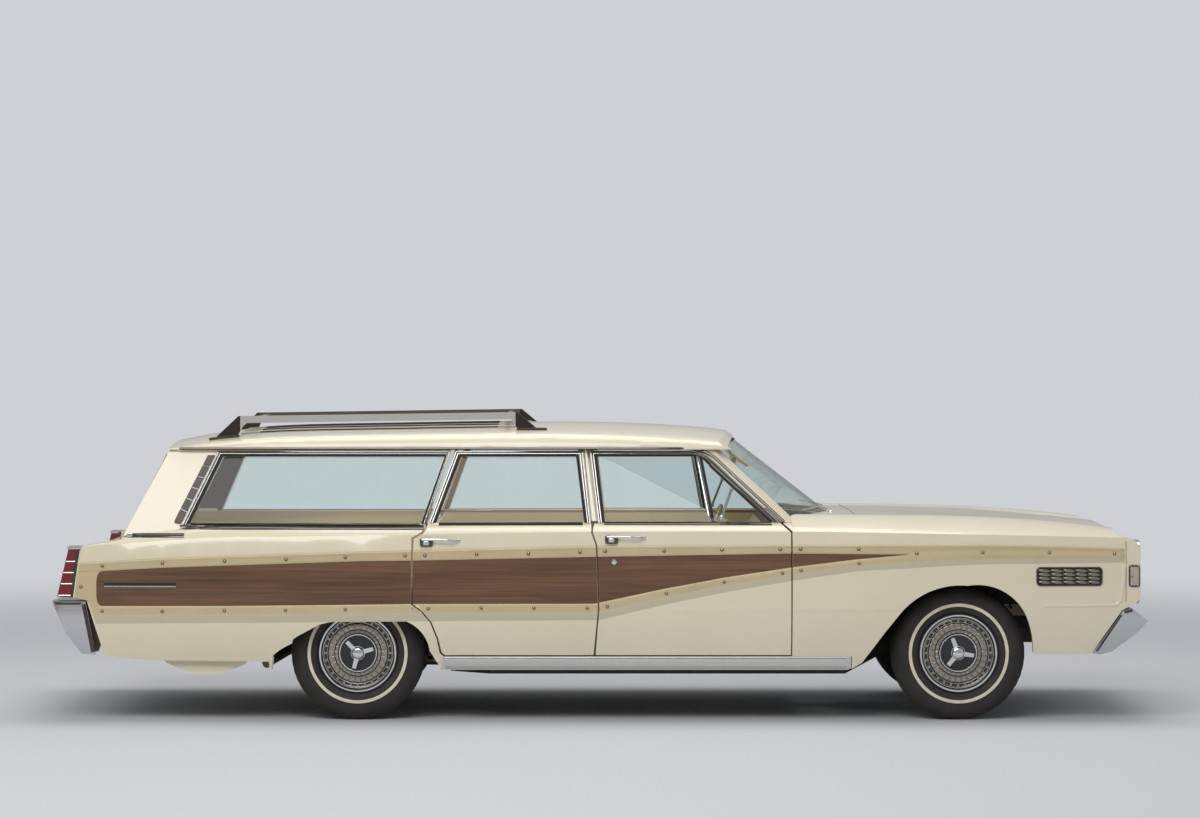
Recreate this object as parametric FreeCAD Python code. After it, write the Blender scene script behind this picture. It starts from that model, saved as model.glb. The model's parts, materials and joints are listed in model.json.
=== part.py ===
"""A full-size 1960s station wagon, as an assembly of separate panels, running gear and glass.

Millimetres. X points forward, Y to the left and Z up from the ground; X = 0 is midway between the bumpers.
Every outer panel is cut from the same few master surfaces, so neighbouring panels line up across their gaps.
"""
import FreeCAD
import Part
import math
import os

V = FreeCAD.Vector
os.makedirs("parts", exist_ok=True)

# ---------------------------------------------------------------- driving dimensions
WHEELBASE = 3023.0
REAR_AXLE_X = -1219.0
FRONT_AXLE_X = REAR_AXLE_X + WHEELBASE
HALF_TRACK = 787.0
TYRE_R = 336.0
AXLE_Z = TYRE_R
KINGPIN_Y = 694.0

GAP = 6.0                # panel gap
FLOOR_Z = 300.0          # underside of the cabin floor
CARGO_Z = 585.0          # top of the load floor
SKIN = 38.0              # thickness of fender, hood and cowl panels
WALL_Y = 850.0           # inner face of doors and lower side walls
INNER_Y = 843.0          # widest fixed piece beside a door
DOOR_BOTTOM_Z = 334.0
ROCKER_TOP_Z = 328.0
ROCKER_BOTTOM_Z = 258.0
HOOD_SEAM_Y = 706.0      # where hood and cowl meet the fender tops
COWL_X = 1300.0          # rear edge of the hood
SEAM_X = -784.0          # seam between rocker and quarter panel, at the rocker's top
DRIP_Z = 1358.0          # lower edge of the roof panel
FRAME_TOP_Z = 1352.0     # top of the door frames
FRAME_THICK = 28.0       # door window frames
PILLAR_SETBACK = 34.0    # outer face of the posts behind the door frames
PILLAR_THICK = 60.0      # roof pillars, measured from the outer glasshouse surface
GLASS_SETBACK = 11.0
GLASS_THICK = 5.0
HINGE_Y = 1012.0         # door hinge axes, just outside the widest point of the side

# Side section, station by station along the car.
# x, sill y, crease y, crease z, shoulder y, shoulder z, edge y, edge z, top z
SILL_Z = 255.0
REAR_STATIONS = [
    (-2730, 905, 946, 515, 930, 866, 880, 872, 872),
    (-2400, 918, 966, 517, 949, 891, 876, 924, 924),
    (-2100, 928, 982, 518, 964, 905, 884, 968, 968),
    (-1500, 936, 998, 519, 980, 924, 896, 984, 984),
    (-600, 940, 1005, 522, 987, 945, 905, 988, 988),
    (300, 940, 1006, 540, 988, 955, 905, 991, 991),
    (980, 940, 1004, 556, 986, 954, 902, 994, 994),
]
FRONT_STATIONS = [
    (940, 940, 1004, 556, 986, 954, 660, 1026, 1028),
    (1500, 937, 1001, 563, 983, 946, 630, 1022, 1023),
    (2100, 926, 988, 572, 969, 934, 604, 1001, 1002),
    (2400, 916, 976, 576, 957, 927, 592, 970, 985),
    (2740, 900, 954, 580, 936, 915, 578, 905, 945),
]

# Glasshouse corners as straight lines in side view: value at z = 985 and change per millimetre of height.
BELT_Z = 985.0
REAR_CORNER_X = (-2368.0, 0.506)
REAR_CENTRE_X = (-2402.0, 0.520)
FRONT_CORNER_X = (968.0, -1.061)
FRONT_CENTRE_X = (1249.0, -1.294)
REAR_CORNER_Y = (876.0, -0.430)
SIDE_MID_Y = (905.0, -0.434)
FRONT_CORNER_Y = (868.0, -0.436)

SHAPES = {}


# ---------------------------------------------------------------- small tools
def xz(y=0.0):
    return lambda a, b: V(a, y, b)


def yz(x=0.0):
    return lambda a, b: V(x, a, b)


def xy(z=0.0):
    return lambda a, b: V(a, b, z)


def wire(points, place):
    """Closed wire: (a, b) is a straight run there, ((a, b), (c, d)) an arc through the first of them."""
    here = place(*points[0])
    edges = []
    for item in points[1:] + [points[0]]:
        if isinstance(item[0], tuple):
            middle, end = place(*item[0]), place(*item[1])
            edges.append(Part.Arc(here, middle, end).toShape())
        else:
            end = place(*item)
            if end.distanceToPoint(here) < 1e-6:
                continue
            edges.append(Part.makeLine(here, end))
        here = end
    return Part.Wire(edges)


def prism_xz(points, y0, y1):
    prism = Part.Face(wire(points, xz(y0))).extrude(V(0, y1 - y0, 0))
    if not prism.isValid():
        raise ValueError("outline crosses itself: " + str(points))
    return prism


def prism_yz(points, x0, x1):
    return Part.Face(wire(points, yz(x0))).extrude(V(x1 - x0, 0, 0))


def prism_xy(points, z0, z1):
    return Part.Face(wire(points, xy(z0))).extrude(V(0, 0, z1 - z0))


def box(x0, x1, y0, y1, z0, z1):
    return Part.makeBox(x1 - x0, y1 - y0, z1 - z0, V(x0, y0, z0))


def rod(start, end, radius):
    run = V(*end) - V(*start)
    return Part.makeCylinder(radius, run.Length, V(*start), run)


def mirrored(shape):
    return shape.mirror(V(0, 0, 0), V(0, 1, 0))


def both(shape):
    return shape.fuse(mirrored(shape))


def fuse(shapes):
    joined = shapes[0]
    for other in shapes[1:]:
        joined = joined.fuse(other)
    return joined.removeSplitter()


def revolve_y(profile, x, z):
    """Profile of (radius, y) points and arcs turned about the wheel axis through (x, z)."""
    face = Part.Face(wire(profile, lambda r, y: V(x, y, z + r)))
    return face.revolve(V(x, 0, z), V(0, 1, 0), 360)


def keep(name, shape):
    """Stores a node as a compound of its solids, largest first, without dust."""
    solids = [s for s in shape.Solids if s.Volume > 200.0]
    solids.sort(key=lambda s: -s.Volume)
    SHAPES[name] = Part.makeCompound(solids)


# ---------------------------------------------------------------- master surfaces
def body_section(row, inset):
    """Half section of the body at one station: sill, tucked lower side, upper side, shoulder, top."""
    x, y_sill, y_low, z_low, y_sh, z_sh, y_edge, z_edge, z_top = row
    y_sill, y_low, y_sh = y_sill - inset, y_low - inset, y_sh - inset
    y_edge = y_edge - 0.4 * inset
    z_sh, z_edge, z_top = z_sh - 0.5 * inset, z_edge - inset, z_top - inset
    low_mid = ((y_sill + y_low) / 2 + 9, (SILL_Z + z_low) / 2)
    side_mid = ((y_low + y_sh) / 2 + 8, (z_low + z_sh) / 2)
    shoulder_mid = ((y_sh + y_edge) / 2 + 0.10 * (z_edge - z_sh) + 2,
                    (z_sh + z_edge) / 2 + 0.09 * (y_sh - y_edge))
    top_mid = (y_edge / 2, z_edge + 0.75 * (z_top - z_edge) + 0.01)
    points = [
        (0.0, SILL_Z),
        (y_sill, SILL_Z),
        (low_mid, (y_low, z_low)),
        (side_mid, (y_sh, z_sh)),
        (shoulder_mid, (y_edge, z_edge)),
        (top_mid, (0.0, z_top)),
    ]
    return wire(points, yz(x))


def body_solid(stations, inset=0.0):
    return Part.makeLoft([body_section(row, inset) for row in stations], True, False)


def line_at(pair, z):
    return pair[0] + pair[1] * (z - BELT_Z)


def glasshouse(inset=0.0, z0=930.0, z1=1500.0, widen=0.0):
    """Ruled loft between two plan outlines: nearly flat sides, bowed windscreen and bowed tailgate glass."""
    side, front, rear = inset * 1.09 - widen, inset * 1.62, inset * 1.12
    outlines = []
    for z in (z0, z1):
        xr, xrc = line_at(REAR_CORNER_X, z) + rear, line_at(REAR_CENTRE_X, z) + rear
        xf, xfc = line_at(FRONT_CORNER_X, z) - front, line_at(FRONT_CENTRE_X, z) - front
        yr, ym, yf = (line_at(p, z) - side for p in (REAR_CORNER_Y, SIDE_MID_Y, FRONT_CORNER_Y))
        xm = (xr + xf) / 2
        points = [
            (xr, -yr),
            ((xm, -ym), (xf, -yf)),
            ((xfc, 0.0), (xf, yf)),
            ((xm, ym), (xr, yr)),
            ((xrc, 0.0), (xr, -yr)),
        ]
        outlines.append(wire_closed_by_arc(points, xy(z)))
    return Part.makeLoft(outlines, True, True)


def wire_closed_by_arc(points, place):
    here = place(*points[0])
    edges = []
    for middle, end in points[1:]:
        middle, end = place(*middle), place(*end)
        edges.append(Part.Arc(here, middle, end).toShape())
        here = end
    return Part.Wire(edges)


# x, centre height of the roof crown, height of the outer crown edge, half width at the drip rail
ROOF_STATIONS = [
    (-2330, 1366, 1340, 722),
    (-2150, 1402, 1372, 735),
    (-1900, 1442, 1406, 744),
    (-1300, 1472, 1432, 751),
    (-600, 1484, 1443, 752),
    (0, 1484, 1442, 748),
    (420, 1466, 1424, 738),
    (800, 1410, 1370, 718),
]


# Rolled roof side: distance in from the drip rail, share of the height from rail to crown edge.
ROOF_ROLL = [(0, 0.06), (7, 0.42), (27, 0.71), (55, 0.90), (92, 1.0)]


def roof_solid(drop=0.0, narrow=0.0, floor=DRIP_Z):
    """Crowned roof with a rolled side, from the drip rail up."""
    sections = []
    for x, z_centre, z_edge, half in ROOF_STATIONS:
        zc, ze, w = z_centre - drop, z_edge - drop, half - narrow
        roll = [(w - step, floor + share * (ze - floor)) for step, share in ROOF_ROLL]
        crown = [((0.0, zc), (-roll[-1][0], ze))]
        points = [(-w, floor - 60), (w, floor - 60)] + roll + crown + [(-y, z) for y, z in roll[-2::-1]]
        sections.append(wire(points, yz(x)))
    return Part.makeLoft(sections, True, False)


rear_body = body_solid(REAR_STATIONS)
front_body = body_solid(FRONT_STATIONS)
front_body_inner = body_solid(FRONT_STATIONS, SKIN)
glass_outer = glasshouse()
glass_frame_inner = glasshouse(FRAME_THICK)
glass_pillar_outer = glasshouse(PILLAR_SETBACK)
glass_pillar_inner = glasshouse(PILLAR_THICK)
pane_outer = glasshouse(GLASS_SETBACK)
pane_inner = glasshouse(GLASS_SETBACK + GLASS_THICK)
frame_shell = glass_outer.cut(glass_frame_inner)
full_shell = glass_outer.cut(glass_pillar_inner)
pillar_shell = glass_pillar_outer.cut(glass_pillar_inner)
pane_shell = pane_outer.cut(pane_inner)

LEFT = 2000.0  # a reach well outside the side of the car

# ---------------------------------------------------------------- outlines in side view (x, z)
# Gap line between the doors, from the sill up.
B_LINE = [(-27, DOOR_BOTTOM_Z), (-4, 560), (-8, 745), (-15, 885), (-38, 948), (-38, 992)]

FRONT_DOOR_FRONT = [(903, 996), (938, 964), (956, 948), (957, DOOR_BOTTOM_Z)]
REAR_DOOR_REAR = [
    (-862, 992), (-872, 965), (-889, 943), (-935, 918), (-938, 592),
    (-892, 560), (-843, 500), (-812, 418), (-797, 347), (-782, DOOR_BOTTOM_Z),
]
FRONT_FRAME = [
    (-9, 955), (-9, 992), (-53, FRAME_TOP_Z), (420, FRAME_TOP_Z), ((505, 1341), (572, 1303)),
    (903, 996), (936, 955),
]
REAR_FRAME = [(-46, 955), (-46, 992), (-84, FRAME_TOP_Z), (-732, FRAME_TOP_Z), (-862, 992), (-877, 955)]
FRONT_WINDOW = [(26, 996), (-12, 1322), (470, 1322), ((518, 1309), (556, 1268)), (850, 996)]
REAR_WINDOW = [(-822, 994), (-702, 1322), (-122, 1322), (-80, 994)]
CARGO_WINDOW = [(-2060, 988), (-1906, 1322), (-786, 1322), (-900, 988)]

REAR_ARCH = [
    (-1655, 200), (-1639, 332), (-1517, 428), (-1404, 489),
    ((-1212, 520), (-1000, 514)), ((-895, 452), (-853, 357)), (-806, 277), (-770, 200),
]
FRONT_ARCH = [
    (1262, 200), (1262, 262), (1314, 295), (1426, 448), (1508, 551),
    ((1636, 648), (1841, 683)), ((2046, 637), (2133, 532)), ((2160, 448), (2171, 354)), (2171, 200),
]
QUARTER = [
    (SEAM_X, ROCKER_TOP_Z), (-803, 344), (-818, 416), (-849, 497), (-896, 555), (-944, 589),
    (-943, 922), (-895, 950), (-882, 968), (-876, 992), (-752, DRIP_Z), (-2179, DRIP_Z), (-2395, 930),
    (-2408, 908), (-2593, 880), (-2608, 862), (-2641, 622), (-2572, 608), (-2486, 334),
    (-2404, 318), (-2231, 306), (-1660, 300), (-1655, 200), (-810, 200), (-797, ROCKER_BOTTOM_Z),
]
FENDER = [
    (963, 1100), (963, ROCKER_TOP_Z), (1262, ROCKER_TOP_Z), (1262, 200), (2171, 200), (2171, 346),
    (2184, 336), (2462, 338), (2616, 560), (2656, 578),
    ((2698, 606), (2708, 668)), (2708, 842), ((2700, 886), (2668, 912)), (2600, 940), (2520, 1100),
]


# ---------------------------------------------------------------- doors
LATCH_BEVEL = 18.0       # how much shorter a door is at its inner face, so that it swings past its neighbour


def loft_xz(outer, inner, y_outer, y_inner):
    return Part.makeLoft([wire(inner, xz(y_inner)), wire(outer, xz(y_outer))], True, True)


def door(hinge_edge, latch_edge, frame, window):
    """A left door: thick lower panel with a slanting latch face, fused to its window frame."""
    outer = hinge_edge + latch_edge
    inner = hinge_edge + [(x + LATCH_BEVEL, z) for x, z in latch_edge]
    slab = loft_xz(outer, inner, HINGE_Y, WALL_Y)
    lower = rear_body.common(slab)
    upper = frame_shell.common(prism_xz(frame, 500, LEFT))
    return fuse([lower, upper]).cut(prism_xz(window, 500, LEFT))


def pane(window):
    return pane_shell.common(prism_xz(window, 500, LEFT))


def doors():
    b_rear = [(x - GAP, z) for x, z in B_LINE]
    table = (
        ("front_door", FRONT_DOOR_FRONT, B_LINE, FRONT_FRAME, FRONT_WINDOW),
        ("rear_door", b_rear, REAR_DOOR_REAR, REAR_FRAME, REAR_WINDOW),
    )
    for name, hinge_edge, latch_edge, frame, window in table:
        panel = door(hinge_edge, latch_edge, frame, window)
        glass = pane(window)
        keep(name + "_left", panel)
        keep(name + "_right", mirrored(panel))
        keep(name + "_left_glass", glass)
        keep(name + "_right_glass", mirrored(glass))


# ---------------------------------------------------------------- quarter panels, with C and D pillars
TUB_R = 405.0
TUB_WALL = 14.0
TUB_IN_Y = 585.0
TUB_Z = AXLE_Z + 18
GATE_HALF = 790.0
GATE_SIDE = [(-2380, 925), (-2516, 884), (-2626, 628), (-2380, 628)]
REAR_OPENING = [(-700, 912), (700, 912), (600, 1342), (-600, 1342)]


def rear_wheel_tub():
    """Arched inner panel over a rear wheel; beside the door it ends at the fixed body's inner face."""
    outer = Part.makeCylinder(TUB_R + TUB_WALL, 960 - TUB_IN_Y, V(REAR_AXLE_X, TUB_IN_Y, TUB_Z), V(0, 1, 0))
    inner_part = box(-3000, 0, 0, INNER_Y, FLOOR_Z, 1400)
    outer_part = prism_xz(QUARTER, 0, LEFT).common(box(-3000, 0, 0, LEFT, FLOOR_Z, 1400))
    return outer.common(inner_part.fuse(outer_part))


def rear_wheel_space():
    inner = TUB_IN_Y + TUB_WALL
    drum = Part.makeCylinder(TUB_R, 955 - inner, V(REAR_AXLE_X, inner, TUB_Z), V(0, 1, 0))
    return drum.fuse(box(REAR_AXLE_X - TUB_R, REAR_AXLE_X + TUB_R, inner, 955, 100, TUB_Z))


# Spare wheel well behind the rear wheel, whose bottom hangs below the quarter panel.
SPARE_WELL = [(-2190, CARGO_Z - 16), (-2190, 300), ((-1960, 234), (-1782, 285)), (-1782, CARGO_Z - 16)]
SPARE_WELL_IN_Y = 640.0
SPARE_WELL_OUT_Y = 905.0


def quarter_panels():
    lower = rear_body.common(prism_xz(QUARTER, WALL_Y, LEFT))
    lower = lower.fuse(prism_xz(SPARE_WELL, SPARE_WELL_IN_Y, SPARE_WELL_OUT_Y))
    upper = full_shell.common(prism_xz(QUARTER, 560, LEFT)).common(box(-3000, 0, 560, LEFT, 905, DRIP_Z))
    jamb = prism_xz([(-2406, 908), (-2593, 876), (-2608, 862), (-2641, 622), (-2480, 618), (-2400, 880)],
                    GATE_HALF + 7, WALL_Y + 2)
    quarter = fuse([lower, upper, jamb, rear_wheel_tub().cut(glass_outer)])
    quarter = quarter.cut(prism_xz(CARGO_WINDOW, 500, LEFT)).cut(prism_yz(REAR_OPENING, -2700, -1900))
    quarter = quarter.cut(rear_wheel_space()).cut(prism_xz(REAR_ARCH, 500, LEFT))
    header = full_shell.common(
        prism_yz([(-600, 1342), (-640, DRIP_Z), (640, DRIP_Z), (600, 1342)], -2600, -1900))
    keep("quarter_panels", fuse([both(quarter), header]))
    rear_pane = pane_shell.common(prism_yz(REAR_OPENING, -2700, -1900))
    keep("cargo_glass", both(pane(CARGO_WINDOW)).fuse(rear_pane))


# ---------------------------------------------------------------- roof, with A and B pillars
PILLARS = []
WINDSCREEN = [(-812, 1003), (812, 1003), (646, 1375), ((0, 1418), (-646, 1375))]
# Corner between the front door, the fender and the windscreen pillar.
PILLAR_FOOT = [(914, 997), (945, 971), (962, 955), (962, 1000), (914, 1000)]


def windscreen_opening():
    return prism_yz(WINDSCREEN, 300, 1500)


def roof():
    trim = glasshouse(0.0, 930.0, 1560.0, 200.0)
    cap = roof_solid().common(box(-2600, 1200, -900, 900, DRIP_Z, 1600)).common(trim)
    hollow = roof_solid(drop=34.0, narrow=64.0, floor=DRIP_Z - 40)
    cap = cap.cut(hollow.common(box(-2140, 600, -900, 900, 1200, 1600))).cut(windscreen_opening())
    front = [(963, 930), (963, 994), (912, 996), (581, 1303), ((521, 1341), (448, DRIP_Z)),
             (1400, DRIP_Z), (1400, 930)]
    a_pillars = full_shell.common(prism_xz(front, -LEFT, LEFT)).cut(windscreen_opening())
    post = [(-68, 1001), (22, 1001), (-30, DRIP_Z), (-112, DRIP_Z)]
    cover = [(-40, 1003), (-20, 1003), (-68, DRIP_Z), (-79, DRIP_Z)]
    b_pillar = fuse([
        pillar_shell.common(prism_xz(post, 500, LEFT)),
        full_shell.common(prism_xz(cover, 500, LEFT)),
        box(-62, 16, 800, INNER_Y, FLOOR_Z + 16, 1018),
    ])
    foot = rear_body.common(prism_xz(PILLAR_FOOT, WALL_Y, LEFT))
    keep("roof", cap)
    PILLARS.extend(a_pillars.Solids + both(b_pillar).Solids + both(foot).Solids)
    keep("windscreen", pane_shell.common(windscreen_opening()).cut(cap))


# ---------------------------------------------------------------- front sheet metal
HOOD_HALF = HOOD_SEAM_Y - GAP
END_CAP_Y = 745.0        # the fender's end cap reaches from here to the side and holds the lamps
END_CAP = [
    (2560, 560), (2656, 578), ((2698, 606), (2708, 668)), (2708, 842), ((2700, 886), (2668, 912)),
    (2600, 940), (2560, 940),
]
LAMP_Y = 842.0
LAMP_ZS = (825.0, 667.0)
LAMP_R = 72.0
LAMP_POCKET_R = 76.0
LAMP_POCKET_X = 2650.0   # bottom of the pocket in which a lamp sits
HOOD_SIDE = [
    (COWL_X, 850), (COWL_X, 1200), (2300, 1200), (2440, 990), ((2584, 968), (2634, 905)), (2640, 850),
]


def front_panels():
    shell = front_body.cut(front_body_inner)
    fender = shell.common(prism_xz(FENDER, HOOD_SEAM_Y, LEFT))
    end_cap = front_body.common(prism_xz(END_CAP, END_CAP_Y, LEFT))
    fender = fuse([fender, end_cap]).cut(prism_xz(FRONT_ARCH, 500, LEFT)).cut(glass_outer)
    for z in LAMP_ZS:
        fender = fender.cut(rod((LAMP_POCKET_X, LAMP_Y, z), (2800, LAMP_Y, z), LAMP_POCKET_R))
    keep("front_fenders", both(fender))

    whole = both(shell)
    plan = [(COWL_X, -HOOD_HALF), (2606, -HOOD_HALF), ((2652, 0), (2606, HOOD_HALF)), (COWL_X, HOOD_HALF)]
    keep("hood", whole.common(prism_xy(plan, 800, 1200)).common(prism_xz(HOOD_SIDE, -LEFT, LEFT)))

    cowl = whole.common(box(985, COWL_X - GAP, -HOOD_SEAM_Y, HOOD_SEAM_Y, 900, 1200)).cut(glass_outer)
    keep("cowl_pillars", fuse([cowl] + PILLARS))


# ---------------------------------------------------------------- tailgate
def tailgate():
    gate = prism_xz(GATE_SIDE, -GATE_HALF, GATE_HALF).cut(glasshouse(-8.0, 600.0, 1000.0))
    keep("tailgate", gate)


def tail_lamps():
    lamp = prism_xz([(-2664, 866), (-2608, 862), (-2641, 622), (-2722, 626)], 808, 944)
    keep("tail_lamps", both(lamp))


# ---------------------------------------------------------------- bumpers
def bumper(profile, sign, half, back, thick):
    """Bar that follows a bowed plan and wraps round both corners, cut to its side view profile."""
    tip = profile[0][0]
    inner_tip = tip - thick * sign
    outer = [(back, -half), (tip - 60 * sign, -half), ((tip - 16 * sign, -half + 22), (tip, -half + 90)),
             ((tip + 14 * sign, 0), (tip, half - 90)),
             ((tip - 16 * sign, half - 22), (tip - 60 * sign, half)), (back, half)]
    inner = [(back - 500 * sign, -half + 34), (inner_tip, -half + 34), (inner_tip, half - 34),
             (back - 500 * sign, half - 34)]
    bar = prism_xy(outer, 300, 640).cut(prism_xy(inner, 290, 650))
    return bar.common(prism_xz(profile, -1100, 1100))


def bumpers():
    front = [(2752, 504), (2664, 568), (2618, 553), (2470, 342), (2501, 336), (2566, 352), (2684, 440)]
    rear = [(-2752, 602), (-2579, 602), (-2528, 334), (-2598, 340), (-2675, 438)]
    keep("front_bumper", bumper(front, 1.0, 958, 2440, 210))
    keep("rear_bumper", bumper(rear, -1.0, 950, -2480, 190))


# ---------------------------------------------------------------- grille and lamps
GRILLE_HALF = END_CAP_Y - 1
GRILLE_BARS = range(656, 856, 22)


def grille():
    """Back plate with a top rail, a sill, fine bars across the whole width and uprights; lamps beside it."""
    half = GRILLE_HALF
    pieces = [
        box(2556, 2568, -half, half, 600, 884),
        box(2560, 2600, -half, half, 866, 886),
        box(2560, 2640, -half, half, 600, 630),
    ]
    pieces += [box(2562, 2628, -half, half, z, z + 7) for z in GRILLE_BARS]
    pieces += [box(2562, 2634, y - 9, y + 9, 610, 880) for y in (-half + 9, -372, 0, 372, half - 9)]
    keep("grille", fuse(pieces))
    lamps = [rod((LAMP_POCKET_X, y, z), (2690, y, z), LAMP_R) for y in (-LAMP_Y, LAMP_Y) for z in LAMP_ZS]
    keep("head_lamps", Part.makeCompound(lamps))


# ---------------------------------------------------------------- rockers, frame, floor
def rockers():
    side = [(-797, ROCKER_BOTTOM_Z), (SEAM_X, ROCKER_TOP_Z), (1258, ROCKER_TOP_Z), (1258, 266),
            (1240, ROCKER_BOTTOM_Z)]
    slab = prism_xz(side, WALL_Y, LEFT)
    rear_part = rear_body.common(slab).common(box(-3000, 960, WALL_Y, LEFT, 200, 400))
    front_part = front_body.common(slab).common(box(960, 3000, WALL_Y, LEFT, 200, 400))
    keep("rockers", both(fuse([rear_part, front_part])))


# Side rail: x, half spacing, height of its centre line.
FRAME_RAIL = [
    (2542, 430, 400), (2100, 430, 400), (1500, 430, 370), (1240, 720, 262), (-560, 720, 262),
    (-760, 540, 262), (-1000, 520, 531), (-1400, 520, 531), (-1700, 520, 440), (-2562, 520, 440),
]
RAIL_HALF_W = 34.0
RAIL_HALF_Z = 38.0


def rail_ring(x, y, z):
    w, h = RAIL_HALF_W, RAIL_HALF_Z
    corners = [V(x, y - w, z - h), V(x, y + w, z - h), V(x, y + w, z + h), V(x, y - w, z + h)]
    return Part.makePolygon(corners + corners[:1])


def chassis():
    ends = zip(FRAME_RAIL, FRAME_RAIL[1:])
    bays = [Part.makeLoft([rail_ring(*a), rail_ring(*b)], True, True) for a, b in ends]
    members = [
        box(2380, 2440, -430, 430, 370, 430),
        box(1724, 1884, -430, 430, 300, 400),
        box(900, 960, -720, 720, 272, 300),
        box(-500, -440, -720, 720, 272, 300),
        box(-1560, -1500, -520, 520, 455, 500),
        box(-2440, -2390, -520, 520, 412, 470),
    ]
    keep("chassis_frame", fuse([both(fuse(bays))] + members))


TUNNEL_HALF = 150.0
TUNNEL_TOP_Z = 398.0
HEEL_X = -876.0          # rear face of the upright panel behind the rear seat


def floor_pan():
    """Cabin floor with its tunnel, the upright panel behind the rear seat, bulkhead and hinge posts."""
    half, top = TUNNEL_HALF, TUNNEL_TOP_Z
    tunnel = prism_yz([(-half, FLOOR_Z), ((0, top), (half, FLOOR_Z))], -860, 1010)
    tunnel_in = prism_yz([(14 - half, FLOOR_Z - 1), ((0, top - 14), (half - 14, FLOOR_Z - 1))], -900, 1100)
    pan = fuse([
        box(-860, 1010, -WALL_Y, WALL_Y, FLOOR_Z, FLOOR_Z + 16),
        tunnel,
        box(HEEL_X, -860, -INNER_Y, INNER_Y, FLOOR_Z, CARGO_Z),
        box(1010, 1024, -INNER_Y, INNER_Y, FLOOR_Z, 930),
        both(box(972, 1024, 790, 990, ROCKER_TOP_Z, 930).common(front_body_inner)),
    ])
    pan = pan.cut(tunnel_in).cut(both(rear_wheel_tub().fuse(rear_wheel_space()))).cut(glass_outer)
    for name in ("front_fenders", "quarter_panels", "chassis_frame", "rockers"):
        pan = pan.cut(SHAPES[name])
    keep("floor_pan", pan)


def load_floor():
    """Raised floor of the load space, between the wheelhouses, down to the tailgate's sill."""
    thick = 16
    pan = fuse([
        box(-955, HEEL_X, -INNER_Y, INNER_Y, CARGO_Z - thick, CARGO_Z),
        box(-2478, -955, -WALL_Y, WALL_Y, CARGO_Z - thick, CARGO_Z),
        box(-2556, -2478, -WALL_Y, WALL_Y, 560, 618),
        box(-2600, -2556, -WALL_Y, WALL_Y, 609, 618),
    ])
    pan = pan.cut(both(rear_wheel_tub().fuse(rear_wheel_space())))
    keep("load_floor", pan.cut(SHAPES["quarter_panels"]).cut(SHAPES["chassis_frame"]))


def inner_fenders():
    """Arched panels over the front wheels, aprons beside the engine and closing panels at the nose."""
    z, radius = AXLE_Z + 20, 418.0
    shell = Part.makeCylinder(radius + 12, 470, V(FRONT_AXLE_X, 500, z), V(0, 1, 0))
    shell = shell.common(box(1024, 2600, 0, LEFT, 470, 1400)).common(front_body_inner)
    apron = box(1024, 2556, 500, 512, 560, 880)
    nose = box(2544, 2556, 500, END_CAP_Y + 40, 600, 880)
    space = Part.makeCylinder(radius, 600, V(FRONT_AXLE_X, 512, z), V(0, 1, 0))
    side = fuse([shell, apron, nose]).cut(space).cut(box(1000, 2600, 499, 513, 0, 560))
    panels = both(side)
    for name in ("front_fenders", "cowl_pillars", "chassis_frame", "floor_pan"):
        panels = panels.cut(SHAPES[name])
    keep("inner_fenders", panels)


# ---------------------------------------------------------------- running gear
HUB_BORE = 24.05
SPINDLE_R = 24.0
# Radius and distance outboard of the tyre's centre plane.
TYRE_PROFILE = [
    (198.1, -76), (218, -100), (300, -96), (336, -56), (336, 56), (300, 96), (218, 100), (198.1, 76),
]
TYRE_FACETS = 72         # flats around a tyre; one lies flat on the ground
COVER_RIBS = 28          # radial ribs of a wheel cover
SPINNER_BARS = 3
WHEEL_PROFILE = [
    (0, 42), (HUB_BORE, 42), (HUB_BORE, -40), (132, -30), (132, 24), (166, 30), (184, -84), (198, -84),
    (198, 84), (190, 90), (172, 64), (104, 56), (96, 68), (34, 70), (30, 84), (0, 86),
]


def tyre():
    """Tyre about the Y axis, as a ring of flats whose middles touch the profile's radii."""
    step = 2 * math.pi / TYRE_FACETS
    stretch = 1 / math.cos(step / 2)

    def corner(index, point):
        angle = (index - 0.5) * step
        return V(point[0] * stretch * math.sin(angle), point[1], -point[0] * stretch * math.cos(angle))

    faces = []
    for i in range(TYRE_FACETS):
        for p, q in zip(TYRE_PROFILE, TYRE_PROFILE[1:] + TYRE_PROFILE[:1]):
            corners = [corner(i, p), corner(i, q), corner(i + 1, q), corner(i + 1, p)]
            faces.append(Part.Face(Part.makePolygon(corners + corners[:1])))
    return Part.makeSolid(Part.makeShell(faces))


def wheel():
    """Steel wheel about the Y axis, with brake drum and full cover: radial ribs round a three-bar spinner."""
    additions = [(box(100, 170, 50, 66, -3, 3), i * 360.0 / COVER_RIBS) for i in range(COVER_RIBS)]
    additions += [(box(20, 84, 60, 79, -9, 9), i * 360.0 / SPINNER_BARS) for i in range(SPINNER_BARS)]
    pieces = []
    for piece, angle in additions:
        piece.rotate(V(0, 0, 0), V(0, 1, 0), angle)
        pieces.append(piece)
    return revolve_y(WHEEL_PROFILE, 0, 0).fuse(pieces).removeSplitter()


def road_wheels():
    for kind, shape in (("wheel_", wheel()), ("tyre_", tyre())):
        for name, x in (("front_", FRONT_AXLE_X), ("rear_", REAR_AXLE_X)):
            left = shape.translated(V(x, HALF_TRACK, AXLE_Z))
            keep(kind + name + "left", left)
            keep(kind + name + "right", mirrored(left))


def knuckle():
    """Left upright with its backing plate and spindle; it turns about the kingpin line."""
    x, z, y = FRONT_AXLE_X, AXLE_Z, KINGPIN_Y
    return fuse([
        box(x - 24, x + 24, y - 20, y + 20, z - 96, z + 120),
        rod((x, y, z), (x, HALF_TRACK - 46, z), 36),
        rod((x, 734, z), (x, 741, z), 126),
        rod((x, y, z), (x, HALF_TRACK + 36, z), SPINDLE_R),
        box(x - 120, x, y - 16, y + 10, z - 60, z - 36),
    ])


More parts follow.
